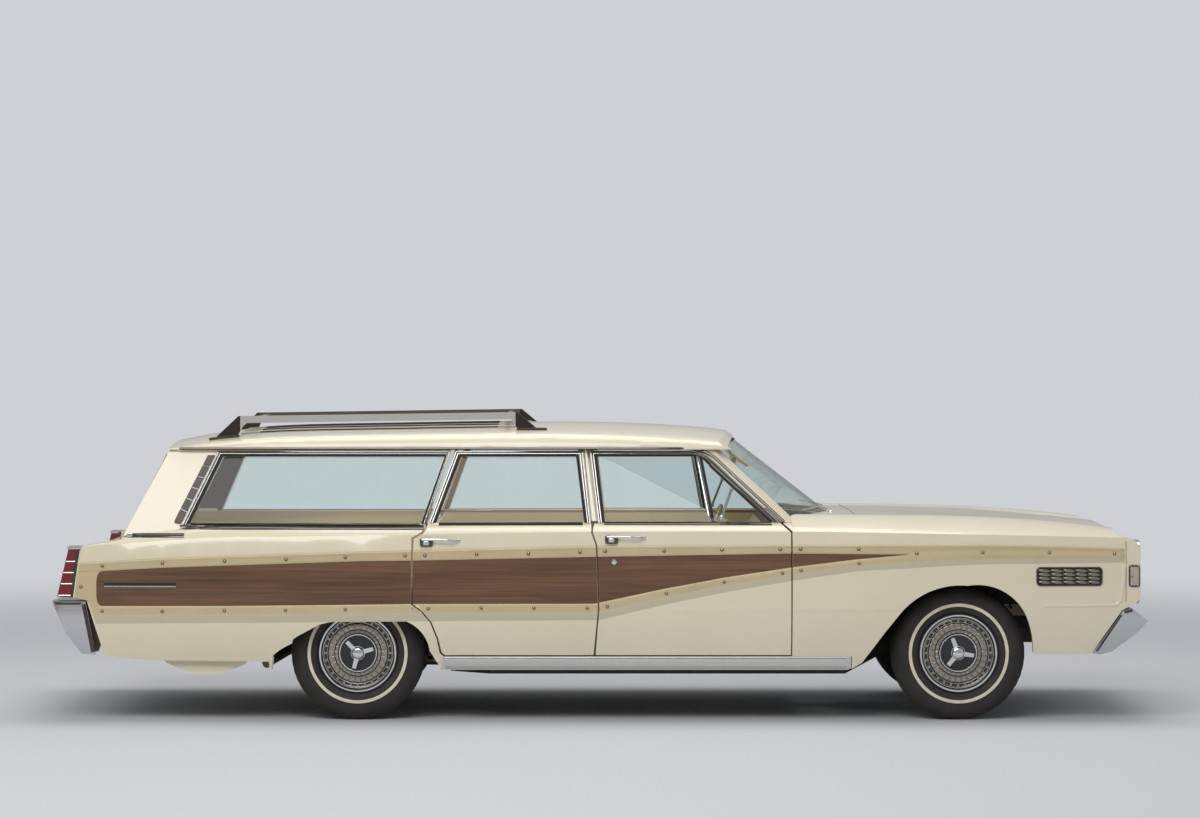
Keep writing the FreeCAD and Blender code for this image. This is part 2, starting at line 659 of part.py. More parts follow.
def front_suspension():
    x = FRONT_AXLE_X
    tip = KINGPIN_Y + 14
    low, high = AXLE_Z - 126, AXLE_Z + 128
    side = fuse([
        prism_xy([(x - 150, 440), (x + 150, 440), (x + 30, tip), (x - 30, tip)], low, low + 22),
        prism_xy([(x - 110, 512), (x + 110, 512), (x + 30, tip), (x - 30, tip)], high, high + 20),
        rod((x, 560, low + 22), (x, 560, high), 48),
        box(x - 150, x + 150, 396, 440, low, 300),
        box(x - 110, x + 110, 464, 512, high - 68, high + 20),
    ])
    side = side.cut(SHAPES["chassis_frame"])
    keep("front_suspension", both(side))


def running_gear():
    road_wheels()
    keep("knuckle_left", knuckle())
    keep("knuckle_right", mirrored(knuckle()))
    front_suspension()

    x, z = REAR_AXLE_X, AXLE_Z
    axle = fuse([
        rod((x, -741, z), (x, 741, z), 38),
        rod((x, -HALF_TRACK - 36, z), (x, HALF_TRACK + 36, z), SPINDLE_R),
        revolve_y([(0, -95), (84, -95), (120, -52), (128, 0), (120, 52), (84, 95), (0, 95)], x, z),
        Part.makeCone(80, 46, 150, V(x + 100, 0, z), V(1, 0, 0)),
        both(rod((x, 734, z), (x, 741, z), 126)),
        both(rod((x, 520, z + 20), (x, 520, 493), 50)),
        rod((x + 240, 0, z + 1), (1040, 0, 342), 32),
    ])
    engine = box(1150, 1960, -250, 250, 400, 860)
    gearbox = prism_yz([(-110, 300), (110, 300), (120, 520), (-120, 520)], 1030, 1150)
    power_unit = fuse([engine, gearbox])
    keep("engine_block", power_unit)
    keep("rear_axle", axle.cut(power_unit))


# Tail pipe, from the silencer over the axle to its end behind the right rear wheel: x, y, z.
TAIL_PIPE = [
    (-500, -330, 252), (-890, -330, 260), (-1060, -400, 424), (-1380, -400, 424),
    (-1600, -470, 320), (-1700, -640, 266),
]


def exhaust():
    section = [(-430, 222), (-230, 222), ((-194, 258), (-230, 294)), (-430, 294), ((-466, 258), (-430, 222))]
    hanger = box(-240, -200, -345, -315, 290, FLOOR_Z)
    pieces = [prism_yz(section, -500, 60), rod((60, -330, 250), (1120, -330, 250), 22), hanger]
    for start, end in zip(TAIL_PIPE, TAIL_PIPE[1:]):
        pieces += [rod(start, end, 24), Part.makeSphere(24, V(*start))]
    keep("exhaust", fuse(pieces).cut(SHAPES["chassis_frame"]))
    tank = prism_xz([(-2190, CARGO_Z - 16), (-2160, 312), (-1800, 312), (-1750, CARGO_Z - 16)], -470, 470)
    keep("fuel_tank", tank.cut(SHAPES["chassis_frame"]).cut(SHAPES["exhaust"]))


# ---------------------------------------------------------------- interior
SEAT_HALF = 720.0
STEERING_RAKE = 64.0     # how far the steering wheel leans up from flat
RIM_SECTION = [(186, 0), (192, -10), (204, -10), (210, 0), (204, 10), (192, 10)]


def bench(back_x, front_x, riser_back):
    """Bench seat across the car: cushion, raked backrest and two risers."""
    floor = FLOOR_Z + 16
    cushion = prism_xz([(back_x + 59, 400), (front_x, 400), (front_x, 520),
                        ((front_x - 12, 554), (front_x - 60, 566)), (back_x + 59, 540)],
                       -SEAT_HALF, SEAT_HALF)
    rest = prism_xz([(back_x + 60, 400), (back_x + 60, 560), (back_x - 20, 940),
                     ((back_x - 50, 962), (back_x - 80, 940)), (back_x - 60, 400)], -SEAT_HALF, SEAT_HALF)
    riser = both(box(riser_back, front_x - 60, 200, 690, floor, 401))
    return fuse([cushion, rest, riser])


def interior():
    notch = rod((REAR_AXLE_X, TUB_IN_Y - 4, TUB_Z), (REAR_AXLE_X, 2 * SEAT_HALF, TUB_Z), TUB_R + TUB_WALL + 4)
    rear_bench = bench(-790, -230, -700).cut(both(notch))
    keep("seats", Part.makeCompound([bench(-30, 560, -70), rear_bench]).cut(SHAPES["chassis_frame"]))
    dash = prism_xz([(1010, 700), (800, 700), (760, 800), (790, 920), ((830, 968), (1010, 975))], -790, 790)
    dash = dash.cut(SHAPES["cowl_pillars"]).cut(SHAPES["windscreen"])
    keep("dashboard", dash)
    hub = V(560, 380, 850)
    ring = revolve_y(RIM_SECTION, 0, 0)
    ring.rotate(V(0, 0, 0), V(1, 0, 0), 90)
    ring.rotate(V(0, 0, 0), V(0, 1, 0), -STEERING_RAKE)
    ring.translate(hub)
    wheel = fuse([ring, rod((560, 380, 850), (800, 380, 734), 26), rod((560, 185, 850), (560, 575, 850), 9)])
    keep("steering_wheel", wheel.cut(dash))


# ---------------------------------------------------------------- roof rack
RACK_Y = 570.0
RACK_HALF_W = 13.0
# Side view of a rail with its raked feet, rear foot first.
RACK_SIDE = [
    (-1983, 1395), (-1845, 1525), (-421, 1545), (-283, 1430),
    (-400, 1430), (-452, 1509), (-1814, 1489), (-1865, 1395),
]
CROSS_BARS = [(-1790, 1494), (-476, 1512)]
SKID_YS = (-450, -300, -150, 0, 150, 300, 450)
SKID_HEIGHT = 5.0
SKID_WIDTH = 14.0


def roof_rack():
    """Side rails on raked feet, a cross bar at each end, and the skid strips between them on the roof."""
    rail = both(prism_xz(RACK_SIDE, RACK_Y - RACK_HALF_W, RACK_Y + RACK_HALF_W))
    cross = [box(x - 13, x + 13, -RACK_Y, RACK_Y, z, z + 20) for x, z in CROSS_BARS]
    frame = fuse([rail] + cross)
    skids = Part.makeCompound([
        box(-1840, -360, y - SKID_WIDTH / 2, y + SKID_WIDTH / 2, 1400, 1600) for y in SKID_YS
    ]).common(roof_solid(drop=-SKID_HEIGHT))
    rack = Part.makeCompound(frame.Solids + skids.Solids)
    keep("roof_rack", rack.cut(roof_solid()))


def main():
    doors()
    quarter_panels()
    roof()
    front_panels()
    tailgate()
    tail_lamps()
    bumpers()
    grille()
    rockers()
    chassis()
    floor_pan()
    load_floor()
    inner_fenders()
    running_gear()
    exhaust()
    interior()
    roof_rack()
    for name, shape in sorted(SHAPES.items()):
        shape.exportStep("parts/" + name + ".step")
        print("%-24s solids %d faces %3d litres %8.1f valid %s" % (
            name, len(shape.Solids), len(shape.Faces), shape.Volume / 1e6, shape.isValid()))


main()
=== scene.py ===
# %% [markdown]
# # A full-size station wagon with wood panels
# The rigid frame of the car comes from CAD: every panel, pane, wheel and lever is already in its place and rides on
# its own body. This lesson dresses that frame. It gives each panel its finish, and adds what sheet metal alone can't
# show: mouldings, wood film, bright trim, lamp lenses, wheel covers, tread, seats and small fittings.
#
# The first step loads the frame. Nothing that is added may make the car larger.

# %% Load the frame
import json
import math

import bpy
import numpy as np
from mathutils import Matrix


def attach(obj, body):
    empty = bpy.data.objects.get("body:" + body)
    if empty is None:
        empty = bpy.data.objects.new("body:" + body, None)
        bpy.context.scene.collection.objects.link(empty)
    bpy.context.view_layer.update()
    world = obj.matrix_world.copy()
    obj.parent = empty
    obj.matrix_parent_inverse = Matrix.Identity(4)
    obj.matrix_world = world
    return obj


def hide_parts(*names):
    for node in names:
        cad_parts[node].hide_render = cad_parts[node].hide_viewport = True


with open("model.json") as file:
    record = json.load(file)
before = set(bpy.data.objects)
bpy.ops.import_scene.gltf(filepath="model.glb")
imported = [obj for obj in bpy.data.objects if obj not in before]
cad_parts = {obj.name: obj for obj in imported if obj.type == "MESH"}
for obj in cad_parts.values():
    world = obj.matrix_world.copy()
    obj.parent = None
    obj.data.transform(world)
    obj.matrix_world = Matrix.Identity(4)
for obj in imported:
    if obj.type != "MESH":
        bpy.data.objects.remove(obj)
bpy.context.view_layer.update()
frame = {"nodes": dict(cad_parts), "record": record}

NODES = frame["nodes"]
scene = bpy.context.scene

# %% [markdown]
# ## Small tools
# A new piece is a surface worked out with numpy: positions on a grid of two parameters, turned into quads. Each maker
# below returns plain arrays, so many small copies can be joined into one mesh before Blender sees them.


# %% Mesh tools
def grid_faces(rows, cols, wrap_rows=False, wrap_cols=False):
    """Quads of a rows x cols grid of points; a wrapped direction closes on itself."""
    r = np.arange(rows if wrap_rows else rows - 1)
    c = np.arange(cols if wrap_cols else cols - 1)
    r, c = np.meshgrid(r, c, indexing="ij")
    r1, c1 = (r + 1) % rows, (c + 1) % cols
    return np.stack([r * cols + c, r1 * cols + c, r1 * cols + c1, r * cols + c1], axis=-1).reshape(-1, 4)


def face_normals(points, faces):
    """Cross product of the two diagonals of every quad."""
    corners = points[faces]
    return np.cross(corners[:, 2] - corners[:, 0], corners[:, 3] - corners[:, 1])


def facing_out(points, faces, centre=0.0):
    """A closed form as (points, faces), its faces turned round if they look towards the centre."""
    points = points.reshape(-1, 3)
    away = points[faces].mean(axis=1) - centre
    outward = np.einsum("ij,ij->i", away, face_normals(points, faces)).sum() > 0
    return points, faces if outward else faces[:, ::-1]


def rounding(value, power):
    """Signed power of a sine or cosine: a small power turns a circle towards a square with soft corners."""
    return np.sign(value) * np.abs(value) ** power


def join_parts(parts):
    """Joins (points, quads) pairs: the quads of each part are raised by the number of points before it."""
    points, quads, count = [], [], 0
    for p, q in parts:
        points.append(np.asarray(p, float).reshape(-1, 3))
        quads.append(np.asarray(q) + count)
        count += len(points[-1])
    return np.concatenate(points), np.concatenate(quads)


def mirror_y(part):
    """The same part on the other side: y changes sign and each quad turns round, so it still faces outwards."""
    p, q = part
    return np.asarray(p).reshape(-1, 3) * (1, -1, 1), np.asarray(q)[:, ::-1]


def moved(part, by):
    """The same part at another place."""
    p, q = part
    return p + np.asarray(by, float), q


def make_piece(name, parts, material, body, slot=None, replaces=(), smooth_deg=35.0):
    """One object at the origin from joined parts, smooth except across edges sharper than smooth_deg."""
    points, quads = join_parts(parts)
    mesh = bpy.data.meshes.new(name)
    mesh.vertices.add(len(points))
    mesh.vertices.foreach_set("co", points.astype(np.float32).reshape(-1))
    mesh.loops.add(len(quads) * 4)
    mesh.polygons.add(len(quads))
    mesh.polygons.foreach_set("loop_start", np.arange(len(quads), dtype=np.int32) * 4)
    mesh.loops.foreach_set("vertex_index", quads.astype(np.int32).reshape(-1))
    mesh.update(calc_edges=True)
    mesh.validate()
    mesh.shade_smooth()
    mesh.set_sharp_from_angle(angle=math.radians(smooth_deg))
    obj = bpy.data.objects.new(name, mesh)
    scene.collection.objects.link(obj)
    obj.data.materials.append(material)
    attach(obj, body)
    if replaces:
        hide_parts(*replaces)
    return obj


print("numpy surfaces can be made into pieces")

# %% Pieces on both sides
# A pair of bodies is (left, right), for a piece and its mirror image.
ON_BODY = ("car_body", "car_body")
FRONT_DOORS = ("door_front_left", "door_front_right")
REAR_DOORS = ("door_rear_left", "door_rear_right")


def piece_on_both_sides(name, parts, material, bodies=ON_BODY, slot=None, **options):
    """Makes the right-hand piece and its mirror image on the left."""
    left, right = bodies
    make_piece(name + "_right", parts, material, right, slot, **options)
    make_piece(name + "_left", [mirror_y(p) for p in parts], material, left, slot, **options)


print("pieces can ride on", ON_BODY[0], "or on a pair of doors")


# %% Node tools
def add_node(owner, kind, inputs=(), **settings):
    """New shader node on a material or world: settings by name, then starting values for its inputs."""
    node = owner.node_tree.nodes.new("ShaderNode" + kind)
    for name, value in settings.items():
        setattr(node, name, value)
    for name, value in dict(inputs).items():
        node.inputs[name].default_value = value
    return node


def wire(owner, *pairs):
    """Links each output to the input beside it."""
    for source, target in pairs:
        owner.node_tree.links.new(source, target)


def ramp(owner, pattern, *stops):
    """Colour that follows a 0-1 pattern through (position, colour) stops."""
    node = add_node(owner, "ValToRGB")
    elements = node.color_ramp.elements
    elements[0].position, elements[0].color = stops[0]
    elements[1].position, elements[1].color = stops[-1]
    for position, color in stops[1:-1]:
        elements.new(position).color = color
    wire(owner, (pattern, node.inputs["Fac"]))
    return node.outputs["Color"]


def spread(owner, pattern, low, high, start=0.0, end=1.0):
    """Maps start-end of a pattern to low-high."""
    node = add_node(owner, "MapRange", {"From Min": start, "From Max": end, "To Min": low, "To Max": high})
    wire(owner, (pattern, node.inputs["Value"]))
    return node.outputs["Result"]


def object_axis(owner, axis):
    """Object coordinate X, Y or Z of the shaded point."""
    coord, split = add_node(owner, "TexCoord"), add_node(owner, "SeparateXYZ")
    wire(owner, (coord.outputs["Object"], split.inputs[0]))
    return split.outputs[axis]


def srgb(red, green, blue):
    """Colour as written on a 0-255 screen scale, turned into the linear values that shaders use."""
    values = np.array([red, green, blue]) / 255.0
    linear = np.where(values <= 0.04045, values / 12.92, ((values + 0.055) / 1.055) ** 2.4)
    return (*linear.tolist(), 1.0)


def grey(level):
    """A grey in the linear values that shaders use."""
    return (level, level, level, 1.0)


print("node tools are ready")

# %% [markdown]
# ## Camera, floor and light
# The car is seen square on from its right side, from about twenty metres away with a long lens, so that its far side
# hardly shrinks. A pale floor and a pale backdrop keep the outline clear, and two large soft lamps over the car give
# the paint and the chrome something broad to reflect.

# %% Camera
EYE = (0.0, -20.89, 1.862)
FOCAL_MM, SENSOR_MM = 119.46, 36.0
TILT_DEG = 0.849
camera_data = bpy.data.cameras.new("camera")
camera_data.lens = FOCAL_MM
camera_data.sensor_width = SENSOR_MM
camera = bpy.data.objects.new("camera", camera_data)
camera.location = EYE
camera.rotation_euler = (math.radians(90.0 - TILT_DEG), 0.0, 0.0)
scene.collection.objects.link(camera)
scene.camera = camera
scene.view_settings.view_transform = "Standard"
print("camera at", EYE)

# %% World
BACKDROP = srgb(205, 208, 212)
SKY_LOW, SKY_HIGH = (0.34, 0.33, 0.31, 1.0), (0.92, 0.95, 1.0, 1.0)
SKY_STRENGTH = 0.48
world = bpy.data.worlds.new("studio")
scene.world = world
world.use_nodes = True
world.node_tree.nodes.clear()
direction, height = add_node(world, "TexCoord"), add_node(world, "SeparateXYZ")
wire(world, (direction.outputs["Generated"], height.inputs[0]))
sky = ramp(world, spread(world, height.outputs["Z"], 0.0, 1.0, -1.0), (0.42, SKY_LOW), (0.62, SKY_HIGH))
seen = add_node(world, "Background", {"Color": BACKDROP})
glow = add_node(world, "Background", {"Strength": SKY_STRENGTH})
ray, choice, surface = (add_node(world, kind) for kind in ("LightPath", "MixShader", "OutputWorld"))
wire(world, (sky, glow.inputs["Color"]), (ray.outputs["Is Camera Ray"], choice.inputs["Fac"]),
     (glow.outputs[0], choice.inputs[1]), (seen.outputs[0], choice.inputs[2]),
     (choice.outputs[0], surface.inputs["Surface"]))
print("a pale sky above, a darker one below")


# %% Lamps
def soft_lamp(name, place, aim, size, power, mirrored=True):
    """Rectangular soft lamp at place, turned towards aim; it shows in reflections only where mirrored is true."""
    data = bpy.data.lights.new(name, "AREA")
    data.shape = "RECTANGLE"
    data.size, data.size_y = size
    data.energy = power
    lamp = bpy.data.objects.new(name, data)
    away = np.array(aim, float) - np.array(place, float)
    lamp.location = place
    lamp.rotation_euler = (
        math.atan2(math.hypot(away[0], away[1]), -away[2]), 0.0, math.atan2(away[1], away[0]) - math.pi / 2)
    lamp.visible_glossy = mirrored
    scene.collection.objects.link(lamp)


soft_lamp("key_lamp", (-3.0, -9.0, 8.0), (0.0, 0.0, 0.6), (9.0, 5.0), 620.0)
soft_lamp("top_lamp", (0.5, 1.0, 8.5), (0.0, 0.0, 0.5), (8.0, 5.0), 340.0)
soft_lamp("cabin_lamp_front", (0.05, 0.0, 1.36), (0.05, 0.0, 0.4), (1.0, 0.9), 8.0, False)
soft_lamp("cabin_lamp_rear", (-1.35, 0.0, 1.36), (-1.35, 0.0, 0.4), (1.1, 0.9), 8.0, False)
print(len(bpy.data.lights), "soft lamps")

# %% Floor
FLOOR_REACH = 60.0
FADE_FROM, FADE_TO = 5.0, 13.0      # distances from the middle between which the floor turns into the backdrop
floor_mesh = bpy.data.meshes.new("floor")
floor_corners = [(x * FLOOR_REACH, y * FLOOR_REACH, 0) for x, y in ((-1, -1), (1, -1), (1, 1), (-1, 1))]
floor_mesh.from_pydata(floor_corners, [], [(0, 1, 2, 3)])
floor_obj = bpy.data.objects.new("floor", floor_mesh)
scene.collection.objects.link(floor_obj)
floor_mat = bpy.data.materials.new("pale_floor")
floor_mat.use_nodes = True
near, surface = floor_mat.node_tree.nodes["Principled BSDF"], floor_mat.node_tree.nodes["Material Output"]
near.inputs["Base Color"].default_value = (0.56, 0.57, 0.58, 1.0)
near.inputs["Roughness"].default_value = 0.9
where, distance = add_node(floor_mat, "TexCoord"), add_node(floor_mat, "VectorMath", operation="LENGTH")
fade = add_node(floor_mat, "MapRange", {"From Min": FADE_FROM, "From Max": FADE_TO}, interpolation_type="SMOOTHSTEP")
far, blend = add_node(floor_mat, "Emission", {"Color": BACKDROP}), add_node(floor_mat, "MixShader")
wire(floor_mat, (where.outputs["Object"], distance.inputs[0]), (distance.outputs["Value"], fade.inputs["Value"]),
     (fade.outputs["Result"], blend.inputs[0]), (near.outputs[0], blend.inputs[1]), (far.outputs[0], blend.inputs[2]),
     (blend.outputs[0], surface.inputs["Surface"]))
floor_obj.data.materials.append(floor_mat)
print("camera, world, floor and", len(bpy.data.lights), "lamps are in place")

# %% [markdown]
# ## Finishes
# Painted steel is a coloured base under a clear coat; chrome is a metal with almost no roughness; wood film is a
# printed grain, long along the car and fine across it. Every pattern in a finish is made of nodes that read Object
# coordinates, so it stays where it is when a door opens.


# %% Finish tools
COAT_ROUGHNESS = 0.04


def entry(mat, name):
    """Input of the material's Principled shader."""
    return mat.node_tree.nodes["Principled BSDF"].inputs[name]


def finish(name, color, rough, metal=0.0, coat=0.0):
    """New material with a Principled shader."""
    mat = bpy.data.materials.new(name)
    mat.use_nodes = True
    for socket, value in (("Base Color", color), ("Roughness", rough), ("Metallic", metal), ("Coat Weight", coat),
                          ("Coat Roughness", COAT_ROUGHNESS)):
        entry(mat, socket).default_value = value
    mat.diffuse_color = color
    return mat


def noise(mat, scale, stretch=(1, 1, 1), detail=4.0, rough=0.55):
    """Noise on Object coordinates, stretched by a Mapping node: a small factor draws the pattern out on that axis."""
    coord, mapping = add_node(mat, "TexCoord"), add_node(mat, "Mapping", {"Scale": stretch})
    pattern = add_node(mat, "TexNoise", {"Scale": scale, "Detail": detail, "Roughness": rough})
    wire(mat, (coord.outputs["Object"], mapping.inputs["Vector"]),
         (mapping.outputs["Vector"], pattern.inputs["Vector"]))
    return pattern.outputs["Fac"]


def tinted(mat, pattern, *stops):
    """Base colour that follows a pattern through (position, colour) stops."""
    wire(mat, (ramp(mat, pattern, *stops), entry(mat, "Base Color")))


def roughened(mat, pattern, low, high):
    """Roughness that follows a 0-1 pattern from low to high."""
    wire(mat, (spread(mat, pattern, low, high), entry(mat, "Roughness")))


def bumped(mat, height, strength, distance):
    """Fine relief in the shading, from a height pattern."""
    node = add_node(mat, "Bump", {"Strength": strength, "Distance": distance})
    wire(mat, (height, node.inputs["Height"]), (node.outputs["Normal"], entry(mat, "Normal")))


print("a finish has colour, roughness and fine relief")

# %% Finishes of the body
paint = finish("cream_paint", srgb(223, 212, 184), 0.32, coat=0.7)
tinted(paint, noise(paint, 1.4, detail=3.0), (0.3, srgb(219, 208, 180)), (0.7, srgb(226, 214, 188)))
roughened(paint, noise(paint, 60.0, detail=6.0), 0.26, 0.38)
bumped(paint, noise(paint, 900.0, detail=2.0), 0.03, 0.0005)

inner_paint = finish("inner_paint", srgb(92, 84, 72), 0.6)
tinted(inner_paint, noise(inner_paint, 12.0), (0.3, srgb(80, 72, 60)), (0.7, srgb(102, 94, 80)))

chrome = finish("chrome", grey(0.70), 0.06, metal=1.0)
roughened(chrome, noise(chrome, 45.0, detail=5.0), 0.04, 0.12)

satin_metal = finish("satin_metal", (0.72, 0.71, 0.68, 1.0), 0.34, metal=1.0)
roughened(satin_metal, noise(satin_metal, 300.0, (0.05, 1, 1), detail=3.0), 0.26, 0.42)

black_steel = finish("black_steel", srgb(34, 33, 32), 0.55)
tinted(black_steel, noise(black_steel, 18.0), (0.35, srgb(28, 27, 26)), (0.7, srgb(52, 46, 40)))

worn_steel = finish("worn_steel", srgb(120, 112, 102), 0.5, metal=0.8)
tinted(worn_steel, noise(worn_steel, 22.0, detail=8.0), (0.35, srgb(96, 80, 66)), (0.65, srgb(140, 134, 126)))

cast_iron = finish("cast_iron", srgb(62, 60, 58), 0.7, metal=0.6)
bumped(cast_iron, noise(cast_iron, 160.0, detail=5.0), 0.35, 0.002)

tyre_rubber = finish("tyre_rubber", srgb(42, 40, 37), 0.75)
tinted(tyre_rubber, noise(tyre_rubber, 9.0, detail=6.0), (0.3, srgb(34, 32, 30)), (0.75, srgb(56, 51, 45)))

vinyl = finish("tan_vinyl", srgb(184, 164, 118), 0.5)
bumped(vinyl, noise(vinyl, 700.0, detail=3.0), 0.25, 0.0006)

dash_plastic = finish("dash_plastic", srgb(150, 132, 96), 0.55)
bumped(dash_plastic, noise(dash_plastic, 500.0, detail=3.0), 0.2, 0.0006)
print(len(bpy.data.materials), "materials so far")

# %% Finishes of glass and lamps
GLASS_TINT, GLASS_IOR = (0.90, 0.945, 0.94, 1.0), 1.42
glass = bpy.data.materials.new("window_glass")
glass.use_nodes = True
glass.node_tree.nodes.remove(glass.node_tree.nodes["Principled BSDF"])
clear = add_node(glass, "BsdfTransparent", {"Color": GLASS_TINT})
shine, blend = add_node(glass, "BsdfGlossy", {"Roughness": 0.0}), add_node(glass, "MixShader")
fresnel, geometry = add_node(glass, "Fresnel", {"IOR": GLASS_IOR}), add_node(glass, "NewGeometry")
front_only = add_node(glass, "Math", {1: -1.0, 2: 1.0}, operation="MULTIPLY_ADD")      # 1 - backfacing
share = add_node(glass, "Math", operation="MULTIPLY")
surface = glass.node_tree.nodes["Material Output"].inputs["Surface"]
wire(glass, (geometry.outputs["Backfacing"], front_only.inputs[0]), (fresnel.outputs[0], share.inputs[0]),
     (front_only.outputs[0], share.inputs[1]), (share.outputs[0], blend.inputs[0]),
     (clear.outputs[0], blend.inputs[1]), (shine.outputs[0], blend.inputs[2]), (blend.outputs[0], surface))

lens_glass = finish("lens_glass", (0.95, 0.97, 0.98, 1.0), 0.02)
entry(lens_glass, "Transmission Weight").default_value = 0.85
entry(lens_glass, "IOR").default_value = 1.5
lamp_red = finish("lamp_red", srgb(116, 4, 6), 0.12, coat=0.35)
print("glass mixes a clear and a glossy shader")

# %% Finishes on the frame
FINISH_OF = {
    "body_paint": paint, "inner_paint": inner_paint, "bright_metal": chrome, "satin_trim": satin_metal,
    "wheel_cover": chrome, "black_steel": black_steel, "exhaust_steel": worn_steel, "iron": cast_iron,
    "window_glass": glass, "lamp_clear": lens_glass, "lamp_red": lamp_red, "vinyl": vinyl,
    "dash_plastic": dash_plastic, "tyre": tyre_rubber,
}
SLOT_OF = {row["node"]: row["material_slot"] for row in frame["record"]["subparts"]}
for node_name, node_obj in NODES.items():
    node_obj.data.materials.clear()
    node_obj.data.materials.append(FINISH_OF[SLOT_OF[node_name]])
print("finishes on", len(NODES), "nodes")

# %% [markdown]
# ## Smooth shading on the panels
# A CAD panel arrives as loose triangles, so every facet would catch the light by itself. A small Geometry Nodes
# group merges the corners that coincide and shades the surface smooth, except across edges that turn by more than
# thirty degrees. The mesh itself stays as it is: the group is a modifier.


# %% Panel shading
MERGE_DISTANCE = 0.00002


def panel_shading(limit_deg=30.0):
    """Node group: merge points within 0.02 mm, smooth faces, edges sharper than the limit stay sharp."""
    group = bpy.data.node_groups.new("panel_shading", "GeometryNodeTree")
    group.interface.new_socket("Geometry", in_out="INPUT", socket_type="NodeSocketGeometry")
    group.interface.new_socket("Geometry", in_out="OUTPUT", socket_type="NodeSocketGeometry")
    add, link = group.nodes.new, group.links.new
    start, end = add("NodeGroupInput"), add("NodeGroupOutput")
    merge, angle = add("GeometryNodeMergeByDistance"), add("GeometryNodeInputMeshEdgeAngle")
    over, faces, edges = (add(kind) for kind in (
        "FunctionNodeCompare", "GeometryNodeSetShadeSmooth", "GeometryNodeSetShadeSmooth"))
    merge.inputs["Distance"].default_value = MERGE_DISTANCE
    over.data_type, over.operation = "FLOAT", "LESS_THAN"
    over.inputs["B"].default_value = math.radians(limit_deg)
    edges.domain = "EDGE"
    link(start.outputs[0], merge.inputs["Geometry"])
    link(merge.outputs[0], faces.inputs["Geometry"])
    link(angle.outputs["Unsigned Angle"], over.inputs["A"])
    link(faces.outputs[0], edges.inputs["Geometry"])
    link(over.outputs[0], edges.inputs["Shade Smooth"])
    link(edges.outputs[0], end.inputs[0])
    return group


SMOOTH = panel_shading()
for node_obj in NODES.values():
    node_obj.modifiers.new("panel_shading", "NODES").node_group = SMOOTH
print("smooth shading on", len(NODES), "nodes")

# %% [markdown]
# ## Tyres and wheels
# A tyre is one outline turned about its axle: sidewall, rounded shoulder and a tread with four grooves, whose outer
# ribs are cut crosswise all the way round. The wheel behind it is black steel. On it sit the bright parts of the
# cover: an outer ring, a ring of small bars over a dark slot, a band of fine radial fins, an inner ring, and a
# three-bar spinner round the hub cap. Everything here rides on its own wheel and turns with it.

# %% Turned surfaces
AXLE_Z, WHEEL_Y = .336, .787
AXLES = (("front", 1.804, math.radians(111)), ("rear", -1.219, math.radians(135)))


def turned(section, steps, rise=0.0, swell=0.0, closed=False):
    """Section of (radius, y) turned about the Y axis; rise and swell add to y and to the radius at every point."""
    radius, y = np.asarray(section, float).T
    angle = np.linspace(0, 2 * math.pi, steps, endpoint=False)
    shape = (len(radius), steps)
    r = radius[:, None] + np.broadcast_to(swell, shape)
    depth = y[:, None] + np.broadcast_to(rise, shape)
    points = np.stack([r * np.cos(angle), depth, r * np.sin(angle)], axis=-1)
    return facing_out(points, grid_faces(*shape, wrap_rows=closed, wrap_cols=True))


def ring(radius, y, width, height, steps=112, corners=10):
    """Closed ring with a rounded section, width across and height along the axle."""
    a = np.linspace(0, 2 * math.pi, corners, endpoint=False)
    out, up = rounding(np.cos(a), .7), rounding(np.sin(a), .7)
    return turned(np.stack([radius + width / 2 * out, y + height / 2 * up], axis=1), steps, closed=True)


def bar(section, path_from, path_to, start_scale=1.0, end_scale=1.0, cols=9):
    """Bar along a straight line: its section (across, up) is carried from one end to the other and closed there."""
    start, end = np.array(path_from, float), np.array(path_to, float)
    up = np.array((0.0, 1.0, 0.0))
    wide = np.cross((end - start) / np.linalg.norm(end - start), up)
    t = np.linspace(0, 1, cols)
    scale = start_scale + (end_scale - start_scale) * t
    t, scale = np.concatenate([[0], t, [1]]), np.concatenate([[0], scale, [0]])
    section = np.asarray(section, float)
    points = (start + t[:, None, None] * (end - start) + section[None, :, :1] * scale[:, None, None] * wide
              + section[None, :, 1:] * np.where(scale > 0, 1, 0)[:, None, None] * up)
    faces = grid_faces(len(t), len(section), wrap_cols=True)
    return facing_out(points, faces, points.reshape(-1, 3).mean(axis=0))


# %% Finishes of the wheels
whitewall = finish("whitewall", srgb(222, 212, 188), 0.6)
tinted(whitewall, noise(whitewall, 30.0), (0.3, srgb(212, 200, 174)), (0.7, srgb(228, 219, 197)))
fin_metal = finish("fin_metal", (0.37, 0.34, 0.295, 1.0), 0.26, metal=1.0)
wheel_black = finish("wheel_black", srgb(26, 26, 28), 0.38, coat=0.3)
print("wheel finishes are mixed")

# %% Tyre
STEPS = 180
TYRE_R, GROOVE_R, CUT_DEPTH, CUT_EVERY = .336, .3295, .0045, 4
GROOVES = (-.036, -.012, .012, .036)
tread_y = np.concatenate([[g - .0032, g - .0028, g + .0028, g + .0032] for g in GROOVES])
tread_r = np.tile([TYRE_R, GROOVE_R, GROOVE_R, TYRE_R], len(GROOVES))
side = [(.2005, .078), (.206, .088), (.218, .096), (.234, .1005), (.2345, .1015), (.2515, .1015), (.252, .1005),
        (.276, .0995), (.296, .0945), (.312, .085), (.324, .073), (.3315, .0625), (.3352, .0545), (.336, .0465)]
profile = np.array(side + list(zip(tread_r[::-1], tread_y[::-1])) + [(r, -y) for r, y in side[::-1]])
outer_rib = (np.abs(profile[:, 1]) > .0395) & (profile[:, 0] > .322)
cut = (np.arange(STEPS) % CUT_EVERY == 0)[None, :] & outer_rib[:, None]
